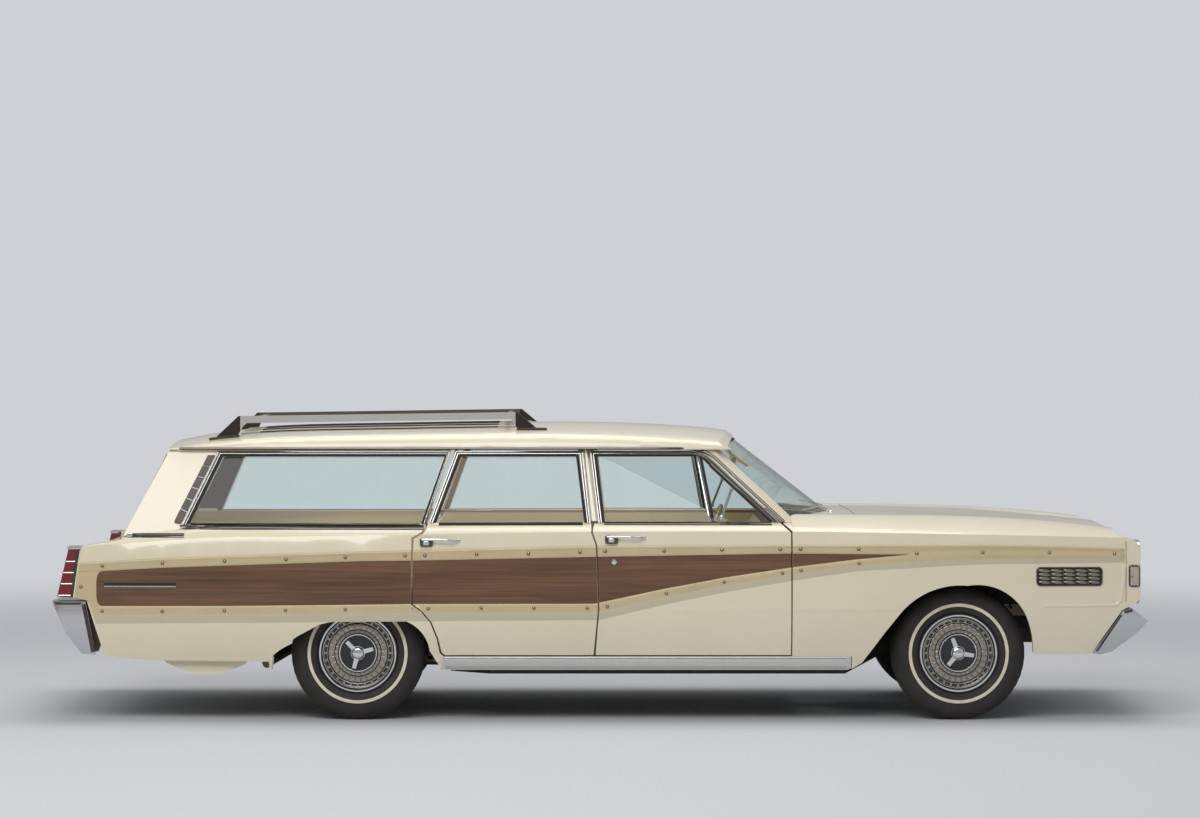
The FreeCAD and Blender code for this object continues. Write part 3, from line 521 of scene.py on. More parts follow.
tyre = turned(profile, STEPS, swell=np.where(cut, -CUT_DEPTH, 0.0), closed=True)
band = [(.2352, .1012), (.236, .1024), (.2435, .1028), (.251, .1024), (.2518, .1012), (.2435, .0985)]
white_ring = turned(band, 144, closed=True)
print("tyre outline of", len(profile), "points")

# %% Wheel and fins of the cover
wheel_outline = [(0, .062), (.033, .060), (.088, .066), (.094, .058), (.150, .060), (.156, .064), (.178, .066),
                 (.186, .072), (.196, .086), (.1995, .086), (.1995, -.084), (.186, -.084), (.170, .020), (.130, .014),
                 (.128, -.030), (.025, -.040), (0, -.040)]
steel = turned(wheel_outline, 96)
BARS = 28
SLOT_DEPTH, FIN_HEIGHT = .010, .0060
a = np.linspace(0, 2 * math.pi, BARS * 16, endpoint=False)
in_slot = np.clip((.42 - np.cos(BARS * a)) / .16, 0, 1)
slot_outline = [(.151, .0585), (.153, .0665), (.1565, .0675), (.1585, .0675), (.1665, .0675), (.1685, .0675),
                (.1725, .066), (.174, .0595)]
slot_rise = -(in_slot * SLOT_DEPTH)[None, :] * np.array([0, 0, 0, 1, 1, 0, 0, 0])[:, None]
slot_ring = turned(slot_outline, BARS * 16, rise=slot_rise, closed=True)
slot_floor = turned([(.1568, .059), (.1575, .0655), (.1675, .0655), (.1682, .059)], 96, closed=True)
wave = np.clip((np.cos(BARS * a) + .90) / .22, 0, 1)
fin_outline = [(.0955, .056), (.099, .062), (.102, .0625), (.1145, .0605), (.117, .058), (.1195, .0605),
               (.143, .0635), (.1475, .063), (.151, .057)]
fin_rise = (wave * FIN_HEIGHT)[None, :] * np.array([0, .7, 1, 1, .1, 1, 1, .8, 0])[:, None]
fins = turned(fin_outline, BARS * 16, rise=fin_rise, closed=True)
print("cover with", BARS, "bars and two rows of", BARS, "cells")

# %% Spinner, and all four corners
SPINNER = [(-1, 0), (-.94, .007), (-.80, .010), (.80, .010), (.94, .007), (1, 0)]
section = [(x * .0145, .064 + y) for x, y in SPINNER]
cap_outline = [(0, .0865), (.016, .0862), (.026, .083), (.031, .077), (.033, .060), (.0, .060)]
rings = [ring(.1905, .084, .0125, .016, 144), ring(.1765, .069, .004, .007, 144),
         ring(.0925, .0665, .0085, .014, 112), ring(.0345, .068, .004, .010, 56), turned(cap_outline, 56)]
for end, axle_x, spin in AXLES:
    ways = [np.array((math.cos(turn), 0, math.sin(turn))) for turn in spin + np.arange(3) * 2 * math.pi / 3]
    bright = rings + [bar(section, way * .026, way * .080, 1.0, .82) for way in ways]
    for hand in ("right", "left"):
        corner = end + "_" + hand
        groups = (("tyre", [tyre], tyre_rubber, "tyre", ("tyre_" + corner,)),
                  ("whitewall", [white_ring], whitewall, None, ()),
                  ("wheel_steel", [steel, slot_floor], wheel_black, "black_steel", ("wheel_" + corner,)),
                  ("wheel_fins", [fins, slot_ring], fin_metal, "wheel_cover", ()),
                  ("wheel_bright", bright, chrome, "wheel_cover", ()))
        for stem, parts, material, slot, old in groups:
            placed = [moved(part, (axle_x, WHEEL_Y, AXLE_Z)) for part in parts]
            if hand == "right":
                placed = [mirror_y(part) for part in placed]
            make_piece(stem + "_" + corner, placed, material, "road_wheel_" + corner, slot, replaces=old)
print("four tyres and wheels are on")

# %% [markdown]
# ## Laying trim on a panel
# Mouldings, film and window trim lie on panels that curve gently. A trim piece is first drawn flat, as points in the
# side view, and then dropped onto one CAD node: Shrinkwrap moves a cloud of points along one axis until they meet the
# surface, and numpy reads back where they ended. What stands proud is then a profile added to that depth.


# %% Drop points onto a node
SIDE = {"axis": 1, "from": -1.2, "positive": True}      # from the right-hand side, moving towards +Y
FRONT = {"axis": 0, "from": 3.0, "positive": False}     # from ahead, moving back
BACK = {"axis": 0, "from": -3.0, "positive": True}      # from behind, moving forward
TOP = {"axis": 2, "from": 2.0, "positive": False}       # from above, moving down
LEAST_MOVE = 1e-5                                       # a point that moves less than this has met nothing


def drop(points, node, way=SIDE):
    """Points moved along one axis onto the node's surface; a miss takes the depth of the nearest hit in the list."""
    points = np.array(points, float)
    shape = points.shape
    flat = points.reshape(-1, 3)
    flat[:, way["axis"]] = way["from"]
    mesh = bpy.data.meshes.new("probe")
    mesh.vertices.add(len(flat))
    mesh.vertices.foreach_set("co", flat.astype(np.float32).reshape(-1))
    probe = bpy.data.objects.new("probe", mesh)
    scene.collection.objects.link(probe)
    wrap = probe.modifiers.new("wrap", "SHRINKWRAP")
    wrap.wrap_method = "PROJECT"
    wrap.use_project_x, wrap.use_project_y, wrap.use_project_z = (way["axis"] == i for i in range(3))
    wrap.use_positive_direction = way["positive"]
    wrap.use_negative_direction = not way["positive"]
    wrap.target = NODES[node]
    seen = probe.evaluated_get(bpy.context.evaluated_depsgraph_get())
    found = np.empty(len(flat) * 3, np.float32)
    seen.data.vertices.foreach_get("co", found)
    depth = found.reshape(-1, 3)[:, way["axis"]].astype(float)
    bpy.data.objects.remove(probe)
    bpy.data.meshes.remove(mesh)
    hit = np.abs(depth - way["from"]) > LEAST_MOVE
    if not hit.any():
        raise ValueError("no point meets " + node)
    if not hit.all():
        order = np.arange(len(depth))
        depth = depth[order[hit][np.abs(order[:, None] - order[hit][None, :]).argmin(axis=1)]]
    flat[:, way["axis"]] = depth
    return flat.reshape(shape)


def laid_sheet(grid, height, node, way=SIDE, sink=0.0015):
    """A closed-edged sheet on a node: grid of points, raised by height, with a rim that dips under the surface."""
    grid = np.asarray(grid, float)
    height = np.broadcast_to(np.asarray(height, float), grid.shape[:2])
    base = np.pad(drop(grid, node, way), ((1, 1), (1, 1), (0, 0)), mode="edge")
    raised = np.pad(height, 1, constant_values=-sink)
    outward = -1.0 if way["positive"] else 1.0
    base[..., way["axis"]] += outward * raised
    points, faces = base.reshape(-1, 3), grid_faces(*base.shape[:2])
    inward = outward * face_normals(points, faces)[:, way["axis"]].sum() < 0
    return points, faces[:, ::-1] if inward else faces


print("points can be dropped onto any node")


# %% Lines and grids
def table(*pairs):
    """A line through (x, z) pairs, as a function for whole arrays."""
    xs, zs = np.array(pairs, float).T
    return lambda x: np.interp(x, xs, zs)


def constant(value):
    """A line that stays at one value."""
    return lambda at: value + 0 * at


def shifted(line, by):
    """A line moved by a distance."""
    return lambda value: line(value) + by


def upright(flat):
    """Pairs (x, z) as points (x, 0, z)."""
    return np.stack([flat[..., 0], np.zeros(flat.shape[:-1]), flat[..., 1]], axis=-1)


def side_grid(x_from, x_to, z_from, z_to, cols, rows, v_of=None):
    """Grid between two edges that depend on z and two edges that depend on x, worked out in three passes."""
    u, v = np.meshgrid(np.linspace(0, 1, cols), np.linspace(0, 1, rows) if v_of is None else v_of)
    z = np.full(u.shape, 0.7)
    for _ in range(3):
        x = (1 - u) * x_from(z) + u * x_to(z)
        z = (1 - v) * z_from(x) + v * z_to(x)
    return np.stack([x, np.zeros_like(x), z], axis=-1)


def level_grid(x_from, x_to, y_from, y_to, cols, rows):
    """Flat grid over a rectangle seen from above."""
    x, y = np.meshgrid(np.linspace(x_from, x_to, cols), np.linspace(y_from, y_to, rows))
    return np.stack([x, y, 0 * x], axis=-1)


def upright_grid(y_from, y_to, z_from, z_to, cols, rows):
    """Flat grid over a rectangle seen from ahead or behind."""
    y, z = np.meshgrid(np.linspace(y_from, y_to, cols), np.linspace(z_from, z_to, rows))
    return np.stack([0 * y, y, z], axis=-1)


print("grids can be drawn between lines")

# %% [markdown]
# ## Mouldings and wood film
# Each side carries a band of printed wood film between two raised mouldings. The band is widest at the tail, and its
# lower edge climbs over the front door until both mouldings meet in a single spear on the fender. The lines below are
# heights along the car; each panel takes the stretch between its own edges, a few millimetres short of the gaps.

# %% Lines of the side trim
RIDGE_TOP = table((-2.62, .795), (-2.5, .802), (-2.19, .821), (-1.88, .832), (-1.2, .855), (-.94, .862), (0, .8855),
                  (.96, .8875), (1.6, .889), (1.91, .890), (2.33, .882), (2.62, .871))
WOOD_TOP = table((-2.62, .747), (-2.5, .7545), (-2.19, .772), (-1.88, .7835), (-1.2, .806), (-.94, .809), (0, .8285),
                 (.96, .8445), (1.55, .839))
WOOD_LOW = table((-2.62, .579), (-2.5, .5795), (-1.88, .5815), (-1.2, .5885), (-.94, .592), (-.03, .5935),
                 (.32, .668), (.62, .724), (.96, .7755), (1.29, .816), (1.53, .8365))
LOW_EDGE = table((-2.62, .488), (-2.5, .490), (-1.2, .503), (0, .512), (.32, .588), (.62, .650), (.96, .708),
                 (1.29, .7565), (1.53, .769), (1.7, .7795), (1.91, .7895), (2.32, .7935), (2.62, .797))
TAIL_EDGE = table((.488, -2.534), (.606, -2.570), (.622, -2.641), (.862, -2.608))
QUARTER_FRONT = table((.418, -.818), (.497, -.849), (.555, -.896), (.589, -.944), (.92, -.943))
DOOR_REAR = table((.418, -.812), (.5, -.843), (.56, -.892), (.592, -.938), (.92, -.935))
DOOR_SEAM = table((.334, -.027), (.56, -.004), (.745, -.008), (.885, -.015), (.948, -.038))
FRONT_CUT, FENDER_END = .957, 2.628         # where the front door and the fender end
GAP, INSET = .006, .0008                    # width of a gap, and how far trim keeps from its edges


def wood_rear(z):
    """Rounded rear end of the wood film, bulging towards the tail between its two corners."""
    return -2.4925 - 0.030 * np.sqrt(np.clip(1 - ((z - .667) / .0875) ** 4, 0, None))


PANELS = (
    # node stem, bodies, rear edge, front edge
    ("quarter_panels", ON_BODY, shifted(TAIL_EDGE, .008), shifted(QUARTER_FRONT, -INSET)),
    ("rear_door", REAR_DOORS, shifted(DOOR_REAR, INSET), shifted(DOOR_SEAM, -GAP - INSET)),
    ("front_door", FRONT_DOORS, shifted(DOOR_SEAM, INSET), constant(FRONT_CUT - INSET)),
    ("front_fenders", ON_BODY, constant(FRONT_CUT + GAP + INSET), constant(FENDER_END)),
)


def right_node(stem):
    """The CAD node of a panel on the right-hand side."""
    return stem + "_right" if stem.endswith("door") else stem


print("lines for", len(PANELS), "panels a side")

# %% Finishes of the side trim
moulding_paint = finish("moulding_paint", srgb(193, 175, 134), 0.35, coat=0.5)
tinted(moulding_paint, noise(moulding_paint, 3.0), (0.3, srgb(188, 169, 127)), (0.7, srgb(198, 180, 141)))
# The step below each moulding faces down: its greyer colour is painted shade and a painted reflection of the pale
# floor.
shaded_step_paint = finish("shaded_step_paint", srgb(196, 187, 160), 0.35, coat=0.5)

BROAD_SHARE = 0.4
wood_film = finish("wood_film", srgb(106, 70, 43), 0.38, coat=0.25)
fibre = noise(wood_film, 26.0, (0.05, 1, 3.2), detail=8.0, rough=0.7)
broad = noise(wood_film, 5.0, (0.22, 1, 2.4), detail=3.0)
grain = add_node(wood_film, "Mix", {0: BROAD_SHARE}, data_type="FLOAT")
wire(wood_film, (fibre, grain.inputs[2]), (broad, grain.inputs[3]))
tinted(wood_film, grain.outputs[0], (0.34, srgb(68, 43, 27)), (0.5, srgb(97, 65, 42)), (0.68, srgb(122, 87, 60)))
roughened(wood_film, fibre, 0.30, 0.48)
bumped(wood_film, fibre, 0.12, 0.0006)
print("moulding paint and wood film are mixed")

# %% Profiles of the side trim
# V is the share of the way down a moulding, H its height there: the ridge above the film, the face below it, and the
# spear in which both end.
RIDGE_V = [0, .08, .16, .24, .34, .55, .80, .95, 1]
RIDGE_H = np.array([0, 5.5, 7.0, 6.4, 4.8, 4.0, 3.2, 2.4, .8]) / 1000
FACE_V = [0, .03, .07, .30, .50, .56, .62, .80, .95, 1]
FACE_H = np.array([.8, 4.4, 5.6, 6.2, 6.2, 5.8, 5.0, 2.4, .4, 0]) / 1000
SPEAR_V = [0, .05, .10, .16, .22, .30, .36, .42, .55, .72, .76, .84, .94, 1]
SPEAR_H = np.array([0, 5.5, 7.0, 5.6, 3.6, 3.2, 4.6, 6.4, 7.4, 7.0, 6.0, 3.6, 1.0, 0]) / 1000
SPEAR_X = 1.5475                # where the upper and the lower moulding become one
FILM_END = 1.535                # where the film runs out between them
# The greyer colour of the step rows is painted shade and painted floor reflection on the downward-facing slope.
FACE_ROWS, SPEAR_ROWS = 5, 10   # rows in moulding colour; the rows below them are a step in a greyer colour
PROUD = .0008                   # how far the mouldings lap over the film
END_TAPER = .014                # length over which the spear falls away at the fender's end


def earlier_of(line, limit):
    """A line that stops at a limit."""
    return lambda z: np.minimum(line(z), limit)


print("profiles of", len(RIDGE_H), len(FACE_H), "and", len(SPEAR_H), "rows")

# %% Lay the side trim
for stem, bodies, rear_edge, front_edge in PANELS:
    node = right_node(stem)
    fender, quarter = stem == "front_fenders", stem == "quarter_panels"
    tip = earlier_of(front_edge, SPEAR_X) if fender else front_edge
    upper = side_grid(rear_edge, tip, RIDGE_TOP, shifted(WOOD_TOP, PROUD), 60, 9, v_of=RIDGE_V)
    lower_from = shifted(TAIL_EDGE, .010) if quarter else rear_edge
    lower = side_grid(lower_from, tip, shifted(WOOD_LOW, PROUD), LOW_EDGE, 60, 10, v_of=FACE_V)
    parts = [laid_sheet(upper, RIDGE_H[:, None], node), laid_sheet(lower[:FACE_ROWS], FACE_H[:FACE_ROWS, None], node)]
    # The step rows get the greyer colour: painted shade on the moulding's downward-facing slope.
    step = [laid_sheet(lower[FACE_ROWS - 1:], FACE_H[FACE_ROWS - 1:, None], node)]
    if fender:
        spear = side_grid(constant(SPEAR_X - .001), front_edge, RIDGE_TOP, LOW_EDGE, 60, 14, v_of=SPEAR_V)
        ends = np.clip((FENDER_END - spear[..., 0]) / END_TAPER, 0, 1) ** 0.5
        high = SPEAR_H[:, None] * ends
        parts.append(laid_sheet(spear[:SPEAR_ROWS], high[:SPEAR_ROWS], node))
        step.append(laid_sheet(spear[SPEAR_ROWS - 1:], high[SPEAR_ROWS - 1:], node))
    if quarter:
        end = side_grid(rear_edge, wood_rear, shifted(WOOD_TOP, .002), shifted(WOOD_LOW, -.002), 12, 24)
        parts.append(laid_sheet(end, 0.0054, node))
    piece_on_both_sides("moulding_" + stem, parts, moulding_paint, bodies, "body_paint", smooth_deg=40)
    piece_on_both_sides("moulding_shaded_step_" + stem, step, shaded_step_paint, bodies, "body_paint", smooth_deg=40)
    film_from = wood_rear if quarter else rear_edge
    film_to = earlier_of(front_edge, FILM_END) if fender else front_edge
    film = side_grid(film_from, film_to, WOOD_TOP, WOOD_LOW, 90, 24)
    piece_on_both_sides("wood_film_" + stem, [laid_sheet(film, 0.0005, node)], wood_film, bodies, "body_paint")
print("mouldings and film on", len(PANELS), "panels a side")

# %% [markdown]
# ## Window frames and bright trim
# Each door window has a bright frame with a dark rubber channel inside it. The strips are drawn between two outlines
# with the same number of points: the outer edge of the frame and the edge of the glass. The drip rail runs along the
# roof's edge and down the front pillar; short bright strips finish the belt line and the rear pillar.

# %% Strip tools
def outline(points, per=10):
    """Polyline through (x, z) points; an item of two points is a circular arc through the first to the second."""
    here, line = np.array(points[0], float), [np.array(points[0], float)]
    t = np.linspace(0, 1, per + 1)[1:, None]
    for item in points[1:]:
        if isinstance(item[0], tuple):
            mid, end = (np.array(p, float) for p in item)
            d = 2 * ((mid - here)[0] * (end - here)[1] - (mid - here)[1] * (end - here)[0])
            a, b = ((mid - here) ** 2).sum(), ((end - here) ** 2).sum()
            centre = here + np.array([(end - here)[1] * a - (mid - here)[1] * b,
                                      (mid - here)[0] * b - (end - here)[0] * a]) / d
            angles = np.unwrap([math.atan2(*(p - centre)[::-1]) for p in (here, mid, end)])
            sweep = angles[0] + (angles[2] - angles[0]) * t
            radius = np.linalg.norm(here - centre)
            line.append(centre + radius * np.hstack([np.cos(sweep), np.sin(sweep)]))
        else:
            end = np.array(item, float)
            line.append(here + (end - here) * t)
        here = end
    return np.vstack(line)


def between(outer, inner, starts, ends, count):
    """Rows of points from one outline to another with as many points, from share `starts` to share `ends`."""
    share = np.linspace(starts, ends, count)[:, None, None]
    return upright(outer * (1 - share) + inner * share)


def along(line, width, count):
    """Rows of points beside a polyline in the side view, centred on it, with mitred corners."""
    run = np.diff(line, axis=0)
    run /= np.linalg.norm(run, axis=1)[:, None]
    normal = np.stack([-run[:, 1], run[:, 0]], axis=1)
    first, last = np.vstack([normal[:1], normal]), np.vstack([normal, normal[-1:]])
    mean = first + last
    mean /= np.linalg.norm(mean, axis=1)[:, None]
    mitre = mean / (mean * first).sum(axis=1)[:, None]
    side = np.linspace(-.5, .5, count)[:, None, None] * width
    return upright(line[None] + side * mitre[None])


def rounded(count, height, power=4):
    """Heights across a strip: nearly flat, falling away at both edges."""
    v = np.linspace(-1, 1, count)
    return (height * (1 - np.abs(v) ** power) + .0003)[:, None]


def strip(line, width, height, node, count=7, way=SIDE, power=3):
    """Rounded strip of one width along a polyline, laid on a node."""
    return laid_sheet(along(np.asarray(line, float), width, count), rounded(count, height, power), node, way)


rubber = finish("black_rubber", srgb(24, 22, 21), 0.7)
frame_metal = finish("frame_metal", (0.125, 0.112, 0.098, 1.0), 0.20, metal=1.0)
dark_trim = finish("dark_trim", srgb(62, 52, 44), 0.4)
tinted(dark_trim, noise(dark_trim, 20.0), (0.3, srgb(52, 43, 36)), (0.7, srgb(72, 61, 52)))
print("strips follow any line in the side view")

# %% Window frames
DOOR_WINDOWS = (
    ("front_door", FRONT_DOORS,
     outline([(-.009, .992), (-.053, 1.352), (.420, 1.352), ((.505, 1.341), (.572, 1.303)), (.903, .996)]),
     outline([(.026, .996), (-.012, 1.322), (.470, 1.322), ((.518, 1.309), (.556, 1.268)), (.850, .996)])),
    ("rear_door", REAR_DOORS,
     outline([(-.046, .992), (-.084, 1.352), (-.732, 1.352), (-.862, .992)]),
     outline([(-.080, .994), (-.122, 1.322), (-.702, 1.322), (-.822, .994)])),
)
BRIGHT = np.array([.0006, .0045, .006, .006, .0042, .0030, .0040, .0046, .0034, .0010])[:, None]
GLASS_LAP = .985
for stem, bodies, outer, inner in DOOR_WINDOWS:
    node = stem + "_right"
    bright = laid_sheet(between(outer, inner, .06, .70, 10), BRIGHT, node)
    beads = [laid_sheet(between(outer, inner, a, b, 4), rounded(4, .0066), node) for a, b in ((.10, .20), (.40, .50))]
    channel = laid_sheet(between(outer, inner, .70, GLASS_LAP, 5), rounded(5, .0022), node)
    sill = np.linspace(inner[-1] + (.012, -.006), inner[0] + (-.006, -.004), 24)
    piece_on_both_sides("window_frame_" + stem, [bright], frame_metal, bodies, "bright_metal")
    piece_on_both_sides("window_bead_" + stem, beads, chrome, bodies, "bright_metal")
    piece_on_both_sides("window_rubber_" + stem, [channel, strip(sill, .014, .003, node)], rubber, bodies)

vent = np.linspace((.562, .994), (.500, 1.325), 12)
for name, dx, material, slot, width, lift in (("bar", -.007, chrome, "bright_metal", .013, .007),
                                              ("seal", .009, rubber, None, .015, .005)):
    sheet = laid_sheet(along(vent + (dx, 0), width, 5), rounded(5, lift), "front_door_right_glass", sink=.004)
    piece_on_both_sides("vent_" + name, [sheet], material, FRONT_DOORS, slot)

CARGO_IN = outline([(-.900, .988), (-.786, 1.322), (-1.906, 1.322), (-2.060, .988)])
CARGO_OUT = outline([(-.872, .988), (-.762, 1.350), (-1.934, 1.350), (-2.102, .984)])


def cargo_sheet(starts, ends, height, **options):
    """Sheet between two shares of the way from the outer to the inner edge of the cargo window's frame."""
    grid = between(CARGO_OUT, CARGO_IN, starts, ends, len(height))
    return laid_sheet(grid, height, "quarter_panels", **options)


sill = strip(np.linspace((-2.112, .973), (-.884, .973), 48), .024, .008, "quarter_panels")
sill_seal = strip(np.linspace((-2.06, .9885), (-.905, .9885), 48), .007, .003, "quarter_panels")
bright = cargo_sheet(.0, .55, BRIGHT[[0, 1, 2, 3, 4, 5, 7, 9]])
beads = [cargo_sheet(.05, .13, rounded(4, .0072)), cargo_sheet(.40, .48, rounded(4, .0072))]
channel = cargo_sheet(.55, GLASS_LAP, rounded(5, .0022))
piece_on_both_sides("cargo_window_frame", [bright, sill], frame_metal, slot="bright_metal")
piece_on_both_sides("cargo_window_bead", beads, chrome, slot="bright_metal")
piece_on_both_sides("cargo_window_rubber", [channel, sill_seal], rubber)
print("three windows a side are framed")

# %% Rear pillar strip and belt strips
RIBS = 30
PILLAR_LEFT = np.linspace((-2.138, 1.008), (-1.985, 1.330), RIBS + 1)
PILLAR_RIGHT = np.linspace((-2.104, .990), (-1.946, 1.330), RIBS + 1)
ribs = .0022 + .0010 * np.cos(np.linspace(0, 2 * math.pi * RIBS, RIBS + 1))[None, :]
ribbed = laid_sheet(between(PILLAR_LEFT, PILLAR_RIGHT, 0, 1, 5), ribs, "quarter_panels")
tip_left, tip_right = outline([(-2.138, 1.008), (-2.143, .994)], 8), outline([(-2.104, .990), (-2.112, .985)], 8)
tip = laid_sheet(between(tip_left, tip_right, .04, .96, 5), rounded(5, .0028), "quarter_panels")
piece_on_both_sides("pillar_strip", [ribbed, tip], dark_trim)
dividers = []
for low, high in zip(PILLAR_LEFT[5:30:5], PILLAR_RIGHT[5:30:5]):
    line = np.linspace(low + (.001, .001), high - (.001, .001), 6)
    dividers.append(strip(line, .005, .0042, "quarter_panels", 5))
piece_on_both_sides("pillar_strip_dividers", dividers, chrome, slot="bright_metal")
belt = strip(np.linspace((-2.375, .9315), (-2.085, .9335), 20), .022, .007, "quarter_panels")
piece_on_both_sides("belt_strip", [belt], frame_metal, slot="bright_metal")
print("pillar strips with", len(dividers), "dividers")

# %% Drip rail
RAIL_SECTION = np.array([(math.cos(a), math.sin(a)) for a in np.linspace(0, 2 * math.pi, 10, endpoint=False)])


def rail(points, radius_out, radius_up, up=(0, 0, 1)):
    """Closed rod with an oval section along a 3-D line; its ends close to a point."""
    points = np.asarray(points, float)
    run = np.gradient(points, axis=0)
    run /= np.linalg.norm(run, axis=1)[:, None]
    side = np.cross(run, np.asarray(up, float))
    side /= np.linalg.norm(side, axis=1)[:, None]
    rise = np.cross(side, run)
    scale = np.pad(np.ones(len(points)), 1)[:, None, None]
    points, side, rise = (np.concatenate([v[:1], v, v[-1:]])[:, None] for v in (points, side, rise))
    section = RAIL_SECTION[None, :, :1] * radius_out * side + RAIL_SECTION[None, :, 1:] * radius_up * rise
    faces = grid_faces(len(points), len(RAIL_SECTION), wrap_cols=True)
    return facing_out(points + scale * section, faces, np.repeat(points[:-1, 0], len(RAIL_SECTION), axis=0))


def on_surface(line, node, out, way=SIDE):
    """The 3-D line that lies on a node below the (x, z) line, moved outwards by `out`."""
    found = drop(upright(line), node, way)
    found[:, way["axis"]] += -out if way["positive"] else out
    return found


def eased(line, times):
    """The line after its inner points are drawn towards their neighbours, a number of times."""
    for _ in range(times):
        line[1:-1] = (line[:-2] + line[1:-1] * 2 + line[2:]) / 4
    return line


roof_edge = np.linspace((-2.13, 1.364), (.425, 1.364), 60)
pillar_line = outline([(.455, 1.363), ((.528, 1.347), (.590, 1.309)), (.925, .999)], 16)
drip_line = np.vstack([on_surface(roof_edge, "roof", .004), on_surface(pillar_line, "cowl_pillars", .003)])
BEND = slice(53, 69)       # the points where the roof's edge turns down into the pillar
drip_line[BEND] = eased(drip_line[BEND], 4)
piece_on_both_sides("drip_rail", [rail(drip_line, .0085, .0072)], frame_metal, slot="bright_metal")
print("window frames, rear pillar strips and drip rails are on")

# %% [markdown]
# ## Small bright parts
# Studs hold the mouldings, a pull handle and its push button sit near the rear edge of each door, and a louvred
# panel and a side lamp fill the front of each fender. Small rounded parts are superellipsoids: a sphere whose sine
# and cosine are raised to a small power, which turns it towards a box with soft edges.


# %% Rounded blocks
def block(centre, half, power=.35, turns=24):
    """Rounded box: centre plus half-sizes times signed powers of sine and cosine; small powers give flatter faces."""
    v = np.linspace(-math.pi / 2, math.pi / 2, turns // 2 + 1)[:, None]
    u = np.linspace(-math.pi, math.pi, turns, endpoint=False)[None, :]
    x = rounding(np.cos(v), power) * rounding(np.cos(u), power)
    y = rounding(np.cos(v), power) * rounding(np.sin(u), power)
    z = rounding(np.sin(v), power) * np.ones_like(u)
    points = np.stack([x, y, z], axis=-1).reshape(-1, 3) * half + centre
    faces = grid_faces(turns // 2 + 1, turns, wrap_cols=True)
    return points, faces[:, ::-1]


def spun(part, axis, degrees, about):
    """The part turned by degrees about one axis through a point."""
    p, q = part
    c, n = math.cos(math.radians(degrees)), math.sin(math.radians(degrees))
    i, j = [(1, 2), (2, 0), (0, 1)][axis]
    arm = np.asarray(p, float).reshape(-1, 3) - about
    a, b = arm[:, i].copy(), arm[:, j].copy()
    arm[:, i], arm[:, j] = a * c - b * n, a * n + b * c
    return arm + about, q


print("blocks can be rounded and turned")

# %% Studs of the mouldings
UPPER_STUDS = (
    (-2.493, .781), (-2.19, .796), (-1.878, .806), (-1.57, .816), (-1.273, .827), (-.975, .835), (-.875, .835),
    (-.617, .841), (-.358, .845), (-.1, .852), (.026, .856), (.32, .859), (.609, .864), (.901, .866), (1.002, .867),
    (1.293, .867), (1.584, .844), (1.914, .85), (2.248, .848), (2.576, .842))
LOWER_STUDS = (
    (-2.6, .676), (-2.493, .555), (-2.19, .555), (-1.878, .559), (-1.572, .561), (-1.273, .565), (-.937, .57),
    (-.858, .57), (-.593, .573), (-.331, .573), (-.064, .573), (.037, .581), (.331, .646), (.62, .703), (.912, .747),
    (1.005, .761), (1.294, .795))
stud_metal = finish("stud_metal", (0.30, 0.28, 0.25, 1.0), 0.15, metal=1.0)
stud_outline = [(0, .0085), (.0035, .0080), (.0065, .0055), (.0085, .0022), (.0095, 0), (.0095, -.003), (0, -.003)]
stud = mirror_y(turned(stud_outline, 16))


def panel_at(x):
    """Which of the four side panels a place along the car belongs to."""
    return PANELS[int(np.searchsorted([-.94, -.015, .96], x))]


for stem, bodies, _, _ in PANELS:
    places = np.array([p for p in UPPER_STUDS + LOWER_STUDS if panel_at(p[0])[0] == stem])
    studs = [moved(stud, place) for place in on_surface(places, right_node(stem), .0055)]
    piece_on_both_sides("studs_" + stem, studs, stud_metal, bodies, "bright_metal")
print(len(UPPER_STUDS) + len(LOWER_STUDS), "studs a side")


# %% Door handles and locks
def point_on(node, x, z, out):
    """One point at (x, z) on a node, moved outwards by `out`."""
    return on_surface(np.array([(x, z)]), node, out)[0]


HANDLES = (("rear_door", REAR_DOORS, -.868, .900, -.712, .909), ("front_door", FRONT_DOORS, .058, .914, .216, .924))
for stem, bodies, pad_x, pad_z, tip_x, tip_z in HANDLES:
    node = stem + "_right"
    base = block(point_on(node, pad_x, pad_z, .004), (.033, .010, .022), .4)
    button = block(point_on(node, pad_x - .001, pad_z - .002, .017), (.015, .008, .012), .6)
    path = np.array([point_on(node, x, z, out) for x, z, out in (
        (pad_x - .022, pad_z + .014, .016), (pad_x + .01, pad_z + .015, .024), (pad_x + .06, pad_z + .014, .027),
        ((pad_x + tip_x) / 2 + .02, pad_z + .013, .027), (tip_x - .03, tip_z - .002, .024),
        (tip_x - .008, tip_z + .001, .017), (tip_x + .004, tip_z + .001, .004))])
    share = np.linspace(0, 1, len(path))
    smooth = np.stack([np.interp(np.linspace(0, 1, 40), share, path[:, i]) for i in range(3)], axis=1)
    pull = rail(eased(smooth, 6), .0042, .0065)
    foot = block(point_on(node, tip_x + .002, tip_z, .002), (.012, .004, .009), .6)
    piece_on_both_sides("handle_base_" + stem, [base], frame_metal, bodies, "bright_metal")
    piece_on_both_sides("handle_" + stem, [pull, foot], chrome, bodies, "bright_metal")
    piece_on_both_sides("handle_button_" + stem, [button], satin_metal, bodies, "bright_metal")

LOCK = (.071, .803)
lock_outline = [(0, .004), (.006, .004), (.0065, .0062), (.013, .0055), (.0155, .001), (.0155, -.003), (0, -.003)]
lock = moved(mirror_y(turned(lock_outline, 32)), point_on("front_door_right", *LOCK, .001))
piece_on_both_sides("door_lock", [lock], chrome, FRONT_DOORS, "bright_metal")
print("handles and locks are on the doors")

